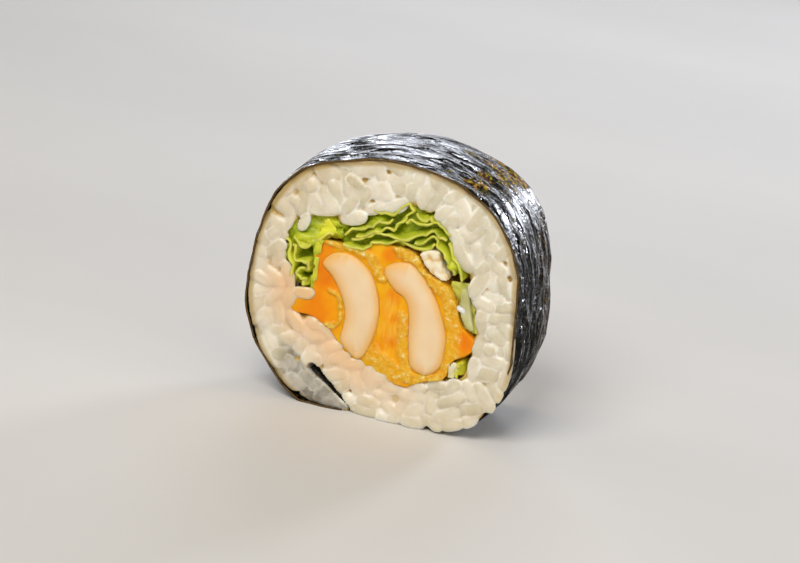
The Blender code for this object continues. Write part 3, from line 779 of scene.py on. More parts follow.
# %% The rice behind each cut
def rice_end(name, toward, seed):
    """The fused grains behind one cut: toward is -1 for the front cut and 1 for the rear."""
    slab = [toward * (CUT - depth) for depth in (2.1, 4.4, RICE_SLAB)]
    bm = solid(slab, lambda y: rice_edge_at(y, NORI_THICKNESS + 0.6), lambda y: hollow_at(y, 0.2))
    grains = lay_grains(toward, random.Random(seed))
    axis_points = [point for grain in grains for point in add_grain(bm, *grain)]
    finder = kdtree.KDTree(len(axis_points))
    for i, point in enumerate(axis_points):
        finder.insert(point, i)
    finder.balance()
    bm = remesh(bm, 0.28)
    relax(bm, 1)
    found = [finder.find(v.co)[1] for v in bm.verts]
    owner = np.array(found) // AXIS_STEPS
    spots = np.array([v.co for v in bm.verts]) / MM - (0.0, 0.0, AXIS_HEIGHT)
    nearest = np.array([axis_points[i] for i in found]) / MM - (0.0, 0.0, AXIS_HEIGHT)
    halves = np.array([grain[5] / 2 for grain in grains])[owner]
    from_axis = np.hypot(spots[:, 0] - nearest[:, 0], spots[:, 2] - nearest[:, 2]) / halves
    depth = CUT - toward * spots[:, 1]
    # The cut springs open above the loose end of the nori, most of all at its tip.
    to_slit = np.sqrt(((spots[:, None, [0, 2]] - (slit + SLOT_SIDE)[None]) ** 2).sum(axis=2))
    widths = np.interp(to_slit.argmin(axis=1), (0, len(slit) - 1), SLOT_WIDTH)
    slot = 1.0 - smoothstep(0.5, 1.0, to_slit.min(axis=1) / widths)
    angles, room, low = cut_rice(spots, depth, slot, toward)
    to_oil_and_glow = to_line(spots[:, [0, 2]], oil_and_glow_side)
    right_part = smoothstep(-6.0, 8.0, spots[:, 0])
    in_strip = smoothstep(-0.3, 0.5, past_slit(spots[:, [0, 2]]))
    slipped_at = SLIPPED[0][0]
    to_slipped = np.hypot(spots[:, 0] - slipped_at[0], spots[:, 2] - slipped_at[1])
    # Painted shade over the upper left and lower right of the cut.
    shaded = np.exp(-(((angles - 143.0) / 34.0) ** 2)) + 0.5 * np.exp(-(((angles - 312.0) / 26.0) ** 2))
    # A warm tint by the batter: oil, and painted warm light from the orange batter.
    oil = np.exp(-((to_oil_and_glow / 4.5) ** 2)) * (0.75 - 0.45 * right_part) * (1.0 - 0.7 * in_strip)
    at_cut = 1.0 - smoothstep(0.8, 1.15, depth)
    write_marks(
        bm,
        # Painted shade: the strip below the slit takes a shaded copy of the grain colours.
        strip=0.85 * in_strip * smoothstep(-20.0, -15.0, spots[:, 0]) * (spots[:, 0] < 2.0),
        tone=np.array([grain[7] for grain in grains])[owner],
        # A painted highlight on each grain's rim, weaker over the strip.
        rim=(0.75 - 0.5 * in_strip) * smoothstep(0.62, 0.95, from_axis) * at_cut,
        # Painted shade in the deep gaps between the grains.
        pit=smoothstep(1.1, 1.6, depth) * (1.0 - slot),
        oil=np.maximum(oil, 1.3 * np.exp(-((to_slipped / 2.6) ** 2))),
        # Painted shade along the nori's edge, and over the upper left and lower right.
        edge=0.75 * smoothstep(1.3, 0.5, room) * (1.0 - low) + 0.35 * smoothstep(9.0, 1.0, room) * shaded,
    )
    for v, spot in zip(bm.verts, spots):
        v.co = place(*spot)
    print(name, len(grains), "grains,", len(bm.faces), "faces")
    finish_piece(name, bm, rice_finish, "rice", "rice")


rice_end("rice_front", -1.0, 5)
rice_end("rice_rear", 1.0, 11)

# %% [markdown]
# Between the two ends the rice is hidden by the nori outside and the fillings inside. Real grains
# there would be faces that nobody sees, so it is a plain ring with grain-sized relief.

# %% The rice in the middle
core_stations = np.linspace(-CUT + RICE_SLAB - 0.5, CUT - RICE_SLAB + 0.5, 5)
bm = remesh(solid(core_stations, lambda y: rice_edge_at(y, NORI_THICKNESS + 0.9), hollow_at), 0.6)
push_out(bm, lambda x, y, z: 0.4 * wobble(6, x / 2.4, y / 2.4, z / 2.4))
# The hidden rice takes half the painted shade of a deep gap and a little of the warm tint.
write_marks(bm, tone=0.4, rim=0.0, pit=0.5, oil=0.2, edge=0.0, strip=0.0)
core = finish_piece("rice_middle", bm, rice_finish, "rice", "rice")
print("rice in the middle:", len(core.data.polygons), "faces")

# %% [markdown]
# ## Squid
#
# Each strip is a curved stick of white squid, smooth and slightly domed where the knife went through,
# because the flesh swells when it's fried. Its section is a plain outline, extruded between the cuts.
# A bevel could round the rim, but it can't raise a dome. So the stick is remeshed to small even quads,
# and the points at a cut are moved by how far each one lies from the outline.

# %% Squid finish: cooked squid flesh
# Dense pale flesh glows faintly from inside, and its warm rim is oil from the batter and painted warm light
# from it.
squid_finish, tree, shader = new_finish("cooked_squid_flesh")
where = add(tree, "TexCoord", None, "Object")
flesh = add(tree, "TexNoise", Vector=where, Scale=every(6.25), Detail=3.0, Roughness=0.5)
rim = add(tree, "Attribute", {"attribute_name": "rim"}, "Fac")
pale = add(tree, "ValToRGB", {"stops": ((0.3, "#edd2a8"), (0.7, "#f3ddba"))}, Fac=flesh)
warm_rimmed = add(tree, "Mix", RGBA, 2, _0=rim, _6=pale, _7=srgb("#f2b450"))
spread = add(tree, "Mapping", Vector=where, Scale=every(2.0, 8.33, 6.25))
fibre = add(tree, "TexNoise", Vector=spread, Scale=1.0, Detail=3.0)
relief = add(tree, "Bump", Strength=0.12, Distance=0.0002, Height=fibre)
plug(tree, shader, Base_Color=warm_rimmed, Roughness=0.42, IOR=1.4, Normal=relief)
plug(tree, shader, Subsurface_Weight=0.6, Subsurface_Radius=(1.0, 0.6, 0.3), Subsurface_Scale=0.002)
print("finish:", squid_finish.name, "with", len(tree.nodes), "nodes")

# %% The two strips
SQUID_LEFT = (
    (-12.4, 2.3), (-12.2, 3.6), (-10.8, 5.1), (-8.6, 5.8), (-6.2, 5.5), (-4.2, 4.4), (-2.4, 2.6),
    (-1.1, -0.2), (-0.4, -3.4), (-0.4, -6.3), (-0.8, -9.2), (-1.5, -11.7), (-2.4, -13.6), (-3.8, -14.0),
    (-5.4, -13.1), (-6.8, -12.0), (-7.5, -10.8), (-7.2, -8.6), (-7.0, -6.4), (-7.5, -4.2), (-8.8, -1.4),
    (-10.6, 0.9),
)
SQUID_RIGHT = (
    (-0.4, 3.8), (-0.2, 5.1), (1.2, 6.2), (3.4, 6.9), (5.4, 6.6), (7.3, 4.8), (9.2, 2.5), (10.7, 0.2),
    (11.8, -2.0), (12.7, -4.3), (13.3, -6.7), (13.3, -8.9), (13.1, -11.3), (12.2, -12.9), (10.7, -14.1),
    (9.0, -14.0), (7.4, -13.2), (6.6, -11.7), (5.8, -7.6), (5.5, -4.0), (5.0, -1.5), (4.0, 0.1),
    (2.5, 0.8), (1.0, 2.0),
)
SQUID_DOME = 0.5
SQUID_RIM = 1.1
SQUID_FALL = 0.4
WARM_RIM_REACH = 1.7  # how many mm the warm rim reaches in, oil and painted warm light from the batter, and twice that at the left side of each strip
STICK = np.linspace(-CUT, CUT, 9)


def make_strip(side, outline):
    """One strip: at each cut its rim falls by SQUID_FALL over SQUID_RIM, and its middle swells."""
    line = smooth_line(outline, 3, closed=True)
    flat = dense(line)
    bm = remesh(solid(STICK, bundled(line)), 0.34)
    sections = np.array([section_of(v) for v in bm.verts])
    rims = []
    for v, (x, y, z), gap in zip(bm.verts, sections, to_line(sections[:, [0, 2]], flat)):
        if abs(y) > CUT - 0.6:
            edge = 1.0 - min(gap, SQUID_RIM) / SQUID_RIM
            swell = 1.0 - (1.0 - min(1.0, gap / 3.6)) ** 2
            fall = SQUID_FALL * (1.0 - math.sqrt(1.0 - edge * edge))
            v.co.y += math.copysign((SQUID_DOME * swell - fall) * MM, y)
        # The warm rim is oil from the batter and painted warm light from it, wider at the left side.
        nearest = flat[((flat - (x, z)) ** 2).sum(axis=1).argmin()]
        warm_rim_reach = WARM_RIM_REACH * (2.0 if nearest[0] < x else 1.0)
        rims.append(0.9 * max(0.0, 1.0 - gap / warm_rim_reach) ** 1.5 if abs(y) > CUT - 2.0 else 0.8)
    write_marks(bm, rim=rims)
    relax(bm, 4)
    push_out(bm, lambda x, y, z: 0.12 * wobble(8, x / 5.0, y / 5.0, z / 5.0))
    strip = finish_piece(f"squid_strip_{side}", bm, squid_finish, "squid", f"squid_{side}")
    print(f"squid, {side} strip: {len(strip.data.polygons)} faces")


make_strip("left", SQUID_LEFT)
make_strip("right", SQUID_RIGHT)

# %% [markdown]
# ## Batter
#
# Tempura batter has three looks here: a smooth oily orange mass, granular pale yellow crumb, and
# fibrous streaks where it was pulled between the strips. Three bodies would show a seam wherever one
# look runs into the next. So one mesh carries them all, and a vertex attribute for each look tells the
# material where it is.

# %% Batter finish: oily fried tempura batter
# Oil gives the eye a deep glowing orange with a wet sheen, and dry crumb breaks it up in pale grit.
batter_finish, tree, shader = new_finish("fried_tempura_batter")
where = add(tree, "TexCoord", None, "Object")
mark = {
    name: add(tree, "Attribute", {"attribute_name": name}, "Fac")
    for name in ("pale", "thick", "pulled")
}
crumb = add(tree, "TexNoise", Vector=where, Scale=every(1.11), Detail=5.0, Roughness=0.65)
blotch = add(tree, "TexNoise", Vector=where, Scale=every(5.88), Detail=3.0, Roughness=0.5)
thinly, thickly, crust = (
    add(tree, "ValToRGB", {"stops": stops}, Fac=noisy)
    for noisy, stops in (
        (blotch, ((0.3, "#ee9a00"), (0.5, "#f3aa04"), (0.7, "#f6bc14"))),
        (blotch, ((0.3, "#e87800"), (0.5, "#f08800"), (0.7, "#f49a00"))),
        (crumb, ((0.32, "#dc9a10"), (0.47, "#e8b22c"), (0.6, "#f0cc60"), (0.68, "#fdf2cc"))),
    )
)
slant = (0.0, math.radians(-14.0), 0.0)
drawn_out = add(tree, "Mapping", Vector=where, Rotation=slant, Scale=every(0.417, 2.0, 3.85))
fibre = add(tree, "TexNoise", Vector=drawn_out, Scale=1.0, Detail=3.0, Roughness=0.55)
drawn = add(tree, "Math", {"operation": "MULTIPLY"}, _0=fibre, _1=mark["pulled"])
threads = add(tree, "MapRange", Value=drawn, _1=0.3, _2=0.7, _3=0.0, _4=0.8)
edge = add(tree, "Math", {"operation": "MULTIPLY_ADD"}, _0=crumb, _1=0.5, _2=mark["pale"])
crumbly = add(tree, "MapRange", Value=edge, _1=0.35, _2=0.95)
colour = thinly
for share, over in ((mark["thick"], thickly), (threads, srgb("#fbc94a")), (crumbly, crust)):
    colour = add(tree, "Mix", RGBA, 2, _0=share, _6=colour, _7=over)
gritty = add(tree, "Math", {"operation": "MULTIPLY"}, _0=crumb, _1=crumbly)
relief = add(tree, "Bump", Strength=0.6, Distance=0.0006, Height=gritty)
relief = add(tree, "Bump", Strength=0.25, Distance=0.0004, Height=drawn, Normal=relief)
plug(tree, shader, Base_Color=colour, Roughness=0.4, IOR=1.45, Specular_IOR_Level=0.22, Normal=relief)
plug(tree, shader, Subsurface_Weight=0.45, Subsurface_Radius=(1.0, 0.55, 0.15), Subsurface_Scale=0.0014)
plug(tree, shader, Coat_Weight=0.06, Coat_Roughness=0.1)
print("finish:", batter_finish.name, "with", len(tree.nodes), "nodes")

# %% Where the batter has which look
BATTER = (
    (-13.4, 6.1), (-10.4, 7.0), (-6.0, 6.8), (-3.0, 8.4), (1.0, 8.9), (5.1, 8.2), (7.5, 5.3),
    (11.8, 3.5), (14.1, 0.0), (15.2, -3.4), (18.6, -6.3), (16.8, -8.7), (14.4, -10.2),
    (13.6, -13.8), (10.0, -14.9), (6.6, -16.8), (2.6, -16.0), (-1.8, -14.5), (-5.3, -13.3),
    (-9.2, -9.7), (-13.0, -8.0), (-16.9, -7.9), (-17.1, -5.7), (-13.8, -4.4), (-13.5, 0.6),
)
# Crumbly places along lines of the cut: their radius in mm, how pale they are, and the line.
CRUMB_LINES = (
    (1.2, 0.75, ((-11.6, 7.2), (-8.6, 7.2), (-6.0, 6.8), (-3.6, 6.0), (-2.2, 4.6), (-1.0, 2.4))),
    (0.6, 0.95, ((-10.6, -1.9), (-9.0, -2.6), (-8.0, -4.4), (-7.8, -6.5), (-8.3, -8.4), (-9.9, -9.0))),
    (1.7, 0.85, ((2.2, 8.6), (5.0, 8.0), (7.6, 5.9), (10.2, 3.7), (12.4, 1.8), (13.4, -0.6))),
    (1.9, 0.46, ((13.6, -1.4), (14.4, -4.6), (14.9, -7.2), (14.9, -10.0), (14.0, -12.6))),
    (1.2, 0.55, ((4.4, -3.6), (4.8, -7.0), (5.4, -10.6), (6.4, -13.8))),
    (2.4, 0.55, ((-0.6, -12.4), (2.0, -14.2), (4.6, -15.4))),
    (1.5, 0.95, ((6.8, -15.4), (10.4, -15.4), (13.0, -14.2))),
)
CRUMBLY = [(tuple(p), radius, pale) for radius, pale, line in CRUMB_LINES for p in smooth_line(line, 6)]
# Smooth places where the oily batter is thick and dark: the middle, the radius and how strongly.
THICK = (
    ((-13.0, 2.2), 3.2, 1.0), ((-11.0, -1.2), 3.4, 1.0), ((-12.6, -5.8), 5.2, 1.0), ((-9.6, -9.0), 2.4, 0.8),
    ((-12.4, 6.0), 2.0, 0.9), ((-4.9, 7.8), 1.5, 0.9), ((0.0, 7.4), 1.8, 0.9), ((17.3, -6.6), 2.8, 1.0),
    ((2.0, -0.6), 1.9, 0.8), ((2.0, -4.6), 2.0, 0.5), ((2.6, -8.8), 2.0, 0.6), ((0.8, -11.0), 1.6, 0.4),
)
# Places where the batter was pulled to threads between the strips.
PULLED = (
    ((0.8, 0.6), 2.6, 0.7), ((1.6, -3.0), 3.4, 1.0), ((2.4, -7.2), 3.6, 1.0), ((2.2, -11.0), 3.2, 0.8),
    ((15.4, -7.2), 2.6, 0.5),
)


def strongest(places, x, z):
    """The strongest of the places' marks here, each fading from its middle to its radius."""
    most = 0.0
    for (cx, cz), radius, strength in places:
        far = math.hypot(x - cx, z - cz) / radius
        most = max(most, strength * max(0.0, 1.0 - far * far) ** 0.6)
    return most


def paleness(x, z):
    """How pale and crumbly the batter is at this place of the cut, from 0 to 1, with a ragged outline."""
    ragged_x, ragged_z = (0.7 * wobble(seed, x / 1.6, z / 1.6, 0.0) for seed in (16, 17))
    return strongest(CRUMBLY, x + ragged_x, z + ragged_z)


def crags(x, y, z):
    """The relief of the batter in mm: fine crumb where it is pale, soft swells where it is oily."""
    grit = wobble(9, x / 0.7, y / 0.7, z / 0.7) + 0.6 * wobble(10, x / 0.38, y / 0.38, z / 0.38)
    streaks = wobble(11, (x + 0.35 * (z + 4.0)) / 0.6, y / 2.0, z / 5.0) * strongest(PULLED, x, z)
    swell = wobble(12, x / 3.2, y / 3.2, z / 3.2)
    return 0.24 * grit * (0.12 + paleness(x, z)) + 0.16 * streaks + 0.2 * swell


# %% The batter between the cuts
OILY_RECESS = 0.3
BATTER_PRESS = 0.5  # how far the batter is pressed into the rice around it
CHANNEL_SHARE = 0.96875  # the share of each strip's width that the batter keeps clear of
batter_line = smooth_line(BATTER, 5, closed=True)
middle = np.mean(batter_line, axis=0)
grown = [p + (p - middle) * BATTER_PRESS / np.linalg.norm(p - middle) for p in batter_line]
channels = []
for outline in (SQUID_LEFT, SQUID_RIGHT):
    middle = np.mean(outline, axis=0)
    line = [middle + (p - middle) * CHANNEL_SHARE for p in smooth_line(outline, 3, closed=True)]
    channels.append(solid([-CUT - 2.0, *STICK, CUT + 2.0], bundled(line)))
bm = remesh(solid(np.linspace(-CUT + 0.15, CUT - 0.15, 9), bundled(grown)), 0.3, channels)
marks = {"pale": [], "thick": [], "pulled": []}
for v in bm.verts:
    x, y, z = section_of(v)
    pale = paleness(x, z)
    hidden = 0.45 + 0.4 * wobble(13, x / 4.0, y / 4.0, z / 4.0)
    marks["pale"].append(pale if abs(y) > CUT - 1.5 else hidden)
    marks["thick"].append(strongest(THICK, x, z) if abs(y) > CUT - 2.5 else 0.3)
    marks["pulled"].append(strongest(PULLED, x, z))
    if abs(y) > CUT - 0.5:
        v.co.y -= math.copysign(OILY_RECESS * (1.0 - min(1.0, 1.6 * pale)) * MM, y)
write_marks(bm, **marks)
push_out(bm, crags)
batter = finish_piece("tempura_batter", bm, batter_finish, "batter", "batter")
print("batter:", len(batter.data.polygons), "faces")

# %% [markdown]
# The flake above the right strip is a loose piece of the crust, paler and full of small bubbles. It
# could be a small lump at each cut, but it runs through the roll, so it is a stick that noise roughens.

# %% The loose flake
FLAKE = ((6.1, 9.4), (9.3, 10.2), (10.3, 8.0), (12.3, 5.3), (10.2, 5.1), (7.6, 7.0))


def bubbly(x, y, z):
    """The relief of the crust in mm: bubbles about a millimetre wide, with smaller ones on them."""
    return 0.3 * wobble(14, x / 1.1, y / 1.1, z / 1.1) + 0.2 * wobble(15, x / 0.5, y / 0.5, z / 0.5)


# Cells of air in a crust as thin as paper give the eye white domes with golden seams.
flake_finish, tree, shader = new_finish("bubbly_tempura_crust")
where = add(tree, "TexCoord", None, "Object")
bubble = add(tree, "TexVoronoi", {"feature": "SMOOTH_F1"}, Vector=where, Scale=every(1.11))
crust = add(tree, "ValToRGB", {"stops": ((0.1, "#f8efd8"), (0.45, "#f4e7c6"), (0.75, "#deb66a"))}, Fac=bubble)
relief = add(tree, "Bump", {"invert": True}, Strength=0.5, Distance=0.0004, Height=bubble)
plug(tree, shader, Base_Color=crust, Roughness=0.45, Normal=relief)
plug(tree, shader, Subsurface_Weight=0.4, Subsurface_Radius=(1.0, 0.7, 0.35), Subsurface_Scale=0.0012)
bm = remesh(solid(np.linspace(-CUT, CUT, 7), bundled(smooth_line(FLAKE, 5, closed=True))), 0.3)
push_out(bm, bubbly)
flake = finish_piece("crust_flake", bm, flake_finish, "batter_flake", "batter_flake")
print("flake:", len(flake.data.polygons), "faces")

# %% [markdown]
# ## Lettuce
#
# The leaves were laid in flat and rolled up, so the cut shows their edges as thin pale ribbons that
# fold over each other. They could be extruded like the squid, but a leaf waves freely on its way
# through the roll. So each one is a grid along a line of the section, waved between the cuts. Solidify
# gives it 0.42 mm, and its cut edges are paler than its faces because light leaves through them.

# %% Lettuce finish: fresh lettuce leaf
# A waxy skin gives soft glints, and a leaf this thin lets a yellow green light through.
leaf_finish, tree, shader = new_finish("fresh_lettuce_leaf")
where = add(tree, "TexCoord", None, "Object")
patch = add(tree, "TexNoise", Vector=where, Scale=every(4.55), Detail=4.0, Roughness=0.6)
colour = add(tree, "ValToRGB", {"stops": ((0.3, "#78900a"), (0.5, "#98aa12"), (0.7, "#b9c222"))}, Fac=patch)
# Painted light: yellow for young leaves and for folds that face the light, and pale yellow at the cut edges
# for the light that leaves through them.
for name, over in (("young", "#e2e53a"), ("cut_edge", "#e4dc70")):
    share = add(tree, "Attribute", {"attribute_name": name}, "Fac")
    colour = add(tree, "Mix", RGBA, 2, _0=share, _6=colour, _7=srgb(over))
vein = add(tree, "TexVoronoi", {"feature": "DISTANCE_TO_EDGE"}, Vector=where, Scale=every(2.63))
relief = add(tree, "Bump", {"invert": True}, Strength=0.3, Distance=0.0003, Height=vein)
plug(tree, shader, Base_Color=colour, Roughness=0.38, IOR=1.42, Normal=relief)
plug(tree, shader, Subsurface_Weight=0.35, Subsurface_Radius=(0.6, 1.0, 0.2), Subsurface_Scale=0.001)
print("finish:", leaf_finish.name, "with", len(tree.nodes), "nodes")

# %% The lines of the leaves at the cut
LETTUCE = {
    "under": (
        (-9.4, 7.6), (-7.6, 7.8), (-5.6, 8.0), (-4.3, 8.5), (-3.2, 9.5), (-1.6, 10.0), (0.6, 10.1),
        (2.8, 10.2), (5.4, 10.6), (7.4, 11.0), (8.6, 11.1),
    ),
    "sheet": (
        (-7.4, 8.8), (-6.0, 9.0), (-4.6, 9.8), (-3.2, 10.7), (-1.6, 11.1), (0.6, 11.4), (2.5, 12.1),
        (4.7, 12.8), (6.6, 13.6), (8.0, 13.9), (9.3, 13.5), (10.4, 12.4),
    ),
    "inner": (
        (4.6, 11.5), (6.2, 12.2), (7.6, 12.5), (8.9, 12.2), (10.2, 11.1), (11.4, 9.8), (12.6, 8.1),
        (13.4, 6.4),
    ),
    "side": ((11.2, 12.3), (12.2, 11.0), (13.3, 9.4), (14.1, 7.6), (15.2, 5.8)),
    "fold": (
        (-9.1, 9.0), (-8.2, 10.6), (-6.6, 11.5), (-5.2, 12.7), (-4.1, 13.4), (-2.6, 13.6),
        (-1.2, 13.8), (-0.7, 14.5),
    ),
    "loop": (
        (-6.8, 10.1), (-5.4, 10.8), (-3.9, 12.1), (-2.2, 12.2), (-0.4, 12.6), (0.8, 13.4),
        (1.1, 14.5), (1.9, 15.4), (2.8, 16.3), (3.1, 17.3), (2.2, 17.8), (0.7, 16.9), (-0.9, 15.9),
        (-2.7, 15.1), (-4.2, 14.7),
    ),
    "top": ((2.7, 14.0), (3.8, 14.7), (5.2, 15.0), (7.0, 15.3), (8.4, 15.1), (9.6, 14.4), (10.7, 13.3)),
    "crest": ((4.2, 16.4), (5.4, 16.1), (6.4, 16.2), (7.1, 16.4), (8.0, 15.9)),
    "leaf": ((-18.8, 8.4), (-17.2, 9.5), (-15.4, 10.7), (-13.6, 11.2), (-11.8, 10.7), (-10.4, 9.8)),
    "hem": ((-20.2, 5.8), (-19.2, 4.7), (-18.3, 2.7), (-17.6, 1.1), (-17.9, -1.2)),
    "frill": (
        (-18.6, 5.0), (-17.5, 4.9), (-18.0, 3.7), (-17.6, 2.5), (-16.4, 2.8), (-15.2, 2.8), (-14.6, 1.4),
        (-15.2, 0.2), (-16.4, 0.4), (-16.9, -0.6), (-16.0, -1.4), (-15.2, -1.2), (-14.8, -2.4),
    ),
    "tip": ((15.2, -13.2), (15.3, -11.7), (15.8, -10.5), (16.8, -10.4), (17.2, -11.7), (16.7, -13.0)),
}
# The left leaf droops from the middle line to this one at the front cut.
DROOPING_FRONT = {
    "leaf": ((-19.0, 6.9), (-17.5, 5.5), (-15.6, 5.8), (-14.1, 7.3), (-12.4, 8.3), (-10.9, 8.6)),
}
# One fold of the left leaf stands forward and catches the light, and that light is painted yellow into its
# colour.
BRIGHT_FOLDS = (((-12.4, 9.6), 2.0, 1.0), ((-13.4, 8.2), 1.6, 0.9), ((-12.6, 10.8), 1.3, 0.9))
YOUNG = {"leaf": 0.3, "frill": 0.5, "hem": 0.6, "tip": 0.9, "loop": 0.35}
LEAF_THICKNESS = 0.42
LEAF_ROWS = 50


# %% The twelve leaves
def make_leaf(name, seed):
    """One sheet: a grid whose columns follow the line of the section and whose rows run from cut to cut."""
    middle = smooth_line(LETTUCE[name], 8)
    front = smooth_line(DROOPING_FRONT.get(name, LETTUCE[name]), 8)
    last = len(middle) - 1
    bm = bmesh.new()
    bmesh.ops.create_grid(bm, x_segments=last, y_segments=LEAF_ROWS, size=0.5)
    edges, yellow_shares = [], []
    for v in bm.verts:
        i = round((v.co.x + 0.5) * last)
        row = v.co.y * 2.0
        droop = max(0.0, (-row - 0.4) / 0.6) ** 1.5
        spot = middle[i] * (1.0 - droop) + front[i] * droop
        along = row * (CUT - 0.1 + 0.5 * wobble(seed, i / 9.0, 0.0, 0.0))
        x, z = bundle_point(spot[0], spot[1], along)
        run = middle[min(last, i + 1)] - middle[max(0, i - 1)]
        run = run / max(1e-6, np.linalg.norm(run))
        near_cut = max(0.0, 1.0 - (1.0 - abs(row)) * CUT / 2.2) ** 1.6
        lip = near_cut * (1.5 * wobble(seed + 4, i / 14.0, row, 0.0) - 0.35)
        x, z = x - run[1] * lip, z + run[0] * lip
        frilly = 0.22 + 0.35 * max(0.0, (-row - 0.7) / 0.3)
        x += frilly * wobble(seed + 1, i / 7.0, along / 4.0, 0.0)
        z += frilly * wobble(seed + 2, i / 7.0, along / 4.0, 0.0)
        v.co = place(x, along, z)
        gap = (1.0 - abs(row)) * CUT
        worn = 0.6 + 0.4 * wobble(seed + 3, i / 6.0, 0.0, 5.0)
        edges.append(worn * (0.6 * max(0.0, 1.0 - gap / 0.35) + 0.25 * max(0.0, 1.0 - gap / 2.0)))
        # Painted light: near the front cut the fold that faces the light is painted yellow.
        lit = strongest(BRIGHT_FOLDS, spot[0], spot[1]) if row < -0.6 else 0.0
        yellow_share = YOUNG.get(name, 0.3) + 0.5 * wobble(seed + 3, i / 10.0, along / 5.0, 0.0)
        yellow_shares.append(min(1.0, max(lit, yellow_share)))
    write_marks(bm, cut_edge=edges, young=yellow_shares)
    leaf = finish_piece(f"leaf_{name}", bm, leaf_finish, "lettuce", f"lettuce_{name}")
    give_wall(leaf, LEAF_THICKNESS, 0.0)


for number, name in enumerate(LETTUCE):
    make_leaf(name, 30 + 5 * number)
print("leaves:", len(LETTUCE))

# %% [markdown]
# Between the ribbons the eye meets the faces of the same leaves, crumpled back from the knife. More
# ribbons would never close every gap, so each face is a grid that is trimmed to its outline and pushed
# in and out, and it shuts the view to the far side.

# %% The crumpled faces
ABOVE = (
    (-9.6, 7.4), (-3.6, 8.0), (2.0, 9.4), (8.6, 10.6), (12.4, 6.4), (15.4, 5.4), (14.3, 9.0), (11.6, 12.8),
    (8.8, 16.2), (4.4, 17.0), (2.6, 18.4), (-2.0, 16.6), (-5.8, 15.2), (-9.4, 12.6), (-11.4, 11.2),
)
LEFT = (
    (-20.6, 7.6), (-18.6, 9.9), (-16.2, 11.4), (-13.4, 12.6), (-10.8, 11.6), (-9.2, 8.4), (-12.4, 7.2),
    (-13.2, 4.0), (-13.5, -0.6), (-14.6, -3.0), (-17.4, -2.6), (-19.9, -0.8), (-20.4, 1.8), (-21.6, 4.6),
)
RIGHT = (
    (12.4, 4.8), (14.6, 4.9), (16.8, 4.6), (17.6, 1.6), (18.6, -2.6), (19.0, -4.6), (17.0, -4.2),
    (15.2, -2.6), (14.4, 0.0), (13.2, 2.4),
)
FOLD = (
    (-14.4, 7.2), (-13.9, 9.2), (-13.0, 11.5), (-11.9, 11.2), (-10.8, 9.9), (-10.3, 8.9), (-12.0, 8.2),
    (-13.2, 7.2),
)
DOWN = (
    (-14.2, 7.4), (-12.8, 7.4), (-12.9, 5.2), (-13.2, 2.9), (-13.3, 0.6), (-13.3, -2.6), (-14.7, -2.8),
    (-14.6, -0.6), (-14.2, 1.4), (-14.4, 3.2), (-14.8, 5.2),
)
# Where the left face lies deepest.
SUNK = (
    ((-16.6, 3.8), 2.2, 1.0), ((-16.2, 1.0), 2.6, 1.0), ((-18.6, 0.6), 1.6, 0.8), ((-15.6, -1.6), 2.0, 0.6),
)
FACE_STEP = 0.28


def make_face(name, outline, toward, depth, crumple, seed, pale=0.0, least_yellow=0.0, sunk=(), finish=leaf_finish):
    """One crumpled leaf face this far behind a cut: pale is how white it is, and the next argument the least
    yellow, as painted light.
    """
    edge = dense(smooth_line(outline, 4, closed=True), step=0.5)
    low, high = edge.min(axis=0), edge.max(axis=0)
    bm = bmesh.new()
    counts = [max(2, int(size / FACE_STEP)) for size in high - low]
    bmesh.ops.create_grid(bm, x_segments=counts[0], y_segments=counts[1], size=0.5)
    spots = np.array([(v.co.x + 0.5, v.co.y + 0.5) for v in bm.verts]) * (high - low) + low
    edges, yellow_shares = [], []
    for v, (x, z), gap in zip(bm.verts, spots, to_line(spots, edge)):
        fold = abs(wobble(seed, x / 5.0, z / 3.0, 0.0)) + 0.5 * abs(wobble(seed + 1, x / 2.2, z / 1.8, 0.0))
        back = depth + crumple * (1.0 - 2.2 * fold) + 2.4 * strongest(sunk, x, z)
        along = toward * (CUT - max(0.15, back))
        across, up = bundle_point(x, z, along)
        v.co = place(across, along, up)
        # Painted light and shade: the fold that faces the light is painted yellow, and the deeper a place
        # lies behind the cut, the greener and darker it is painted.
        lit = strongest(BRIGHT_FOLDS, x, z) if toward < 0.0 else 0.0
        yellow_share = 0.7 - 0.45 * back + 0.4 * wobble(seed + 2, x / 3.0, z / 3.0, 0.0)
        yellow_shares.append(min(1.0, max(lit, least_yellow, yellow_share)))
        edges.append(max(pale, 0.7 * max(0.0, 1.0 - gap / 0.4) if depth < 1.5 else 0.0))
    write_marks(bm, cut_edge=edges, young=yellow_shares)
    outside = [v for v, kept in zip(bm.verts, inside(spots, edge)) if not kept]
    bmesh.ops.delete(bm, geom=outside, context="VERTS")
    face = finish_piece(name, bm, finish, "lettuce")
    give_wall(face, LEAF_THICKNESS, 0.0)


# The fold that catches the light is painted yellow all over.
make_face("leaf_face_fold", FOLD, -1.0, 0.5, 0.7, 114, least_yellow=1.0)
make_face("leaf_face_right", RIGHT, -1.0, 1.4, 0.8, 106, 0.55)
make_face("leaf_face_above", ABOVE, -1.0, 1.9, 1.2, 90)
make_face("leaf_face_left", LEFT, -1.0, 1.2, 1.1, 94, sunk=SUNK)
make_face("leaf_face_down", DOWN, -1.0, 0.5, 0.5, 122, least_yellow=0.25)
make_face("leaf_face_above_rear", ABOVE, 1.0, 2.2, 1.2, 98)
make_face("leaf_face_left_rear", LEFT, 1.0, 1.6, 1.2, 102, sunk=SUNK)
make_face("leaf_face_right_rear", RIGHT, 1.0, 1.4, 0.8, 110, 0.55)
print("leaf faces: 5 at the front, 3 at the rear")

# %% [markdown]
# The pale rib of a leaf lies at the right. It is thick and watery, so it is a smoothed stick and not a
# sheet. Two small things finish that side: the whitish heart of the leaf tip below the batter, and one
# crumb of rice above the rib, painted all over with the grains' rim highlight so that it shows as a glint.

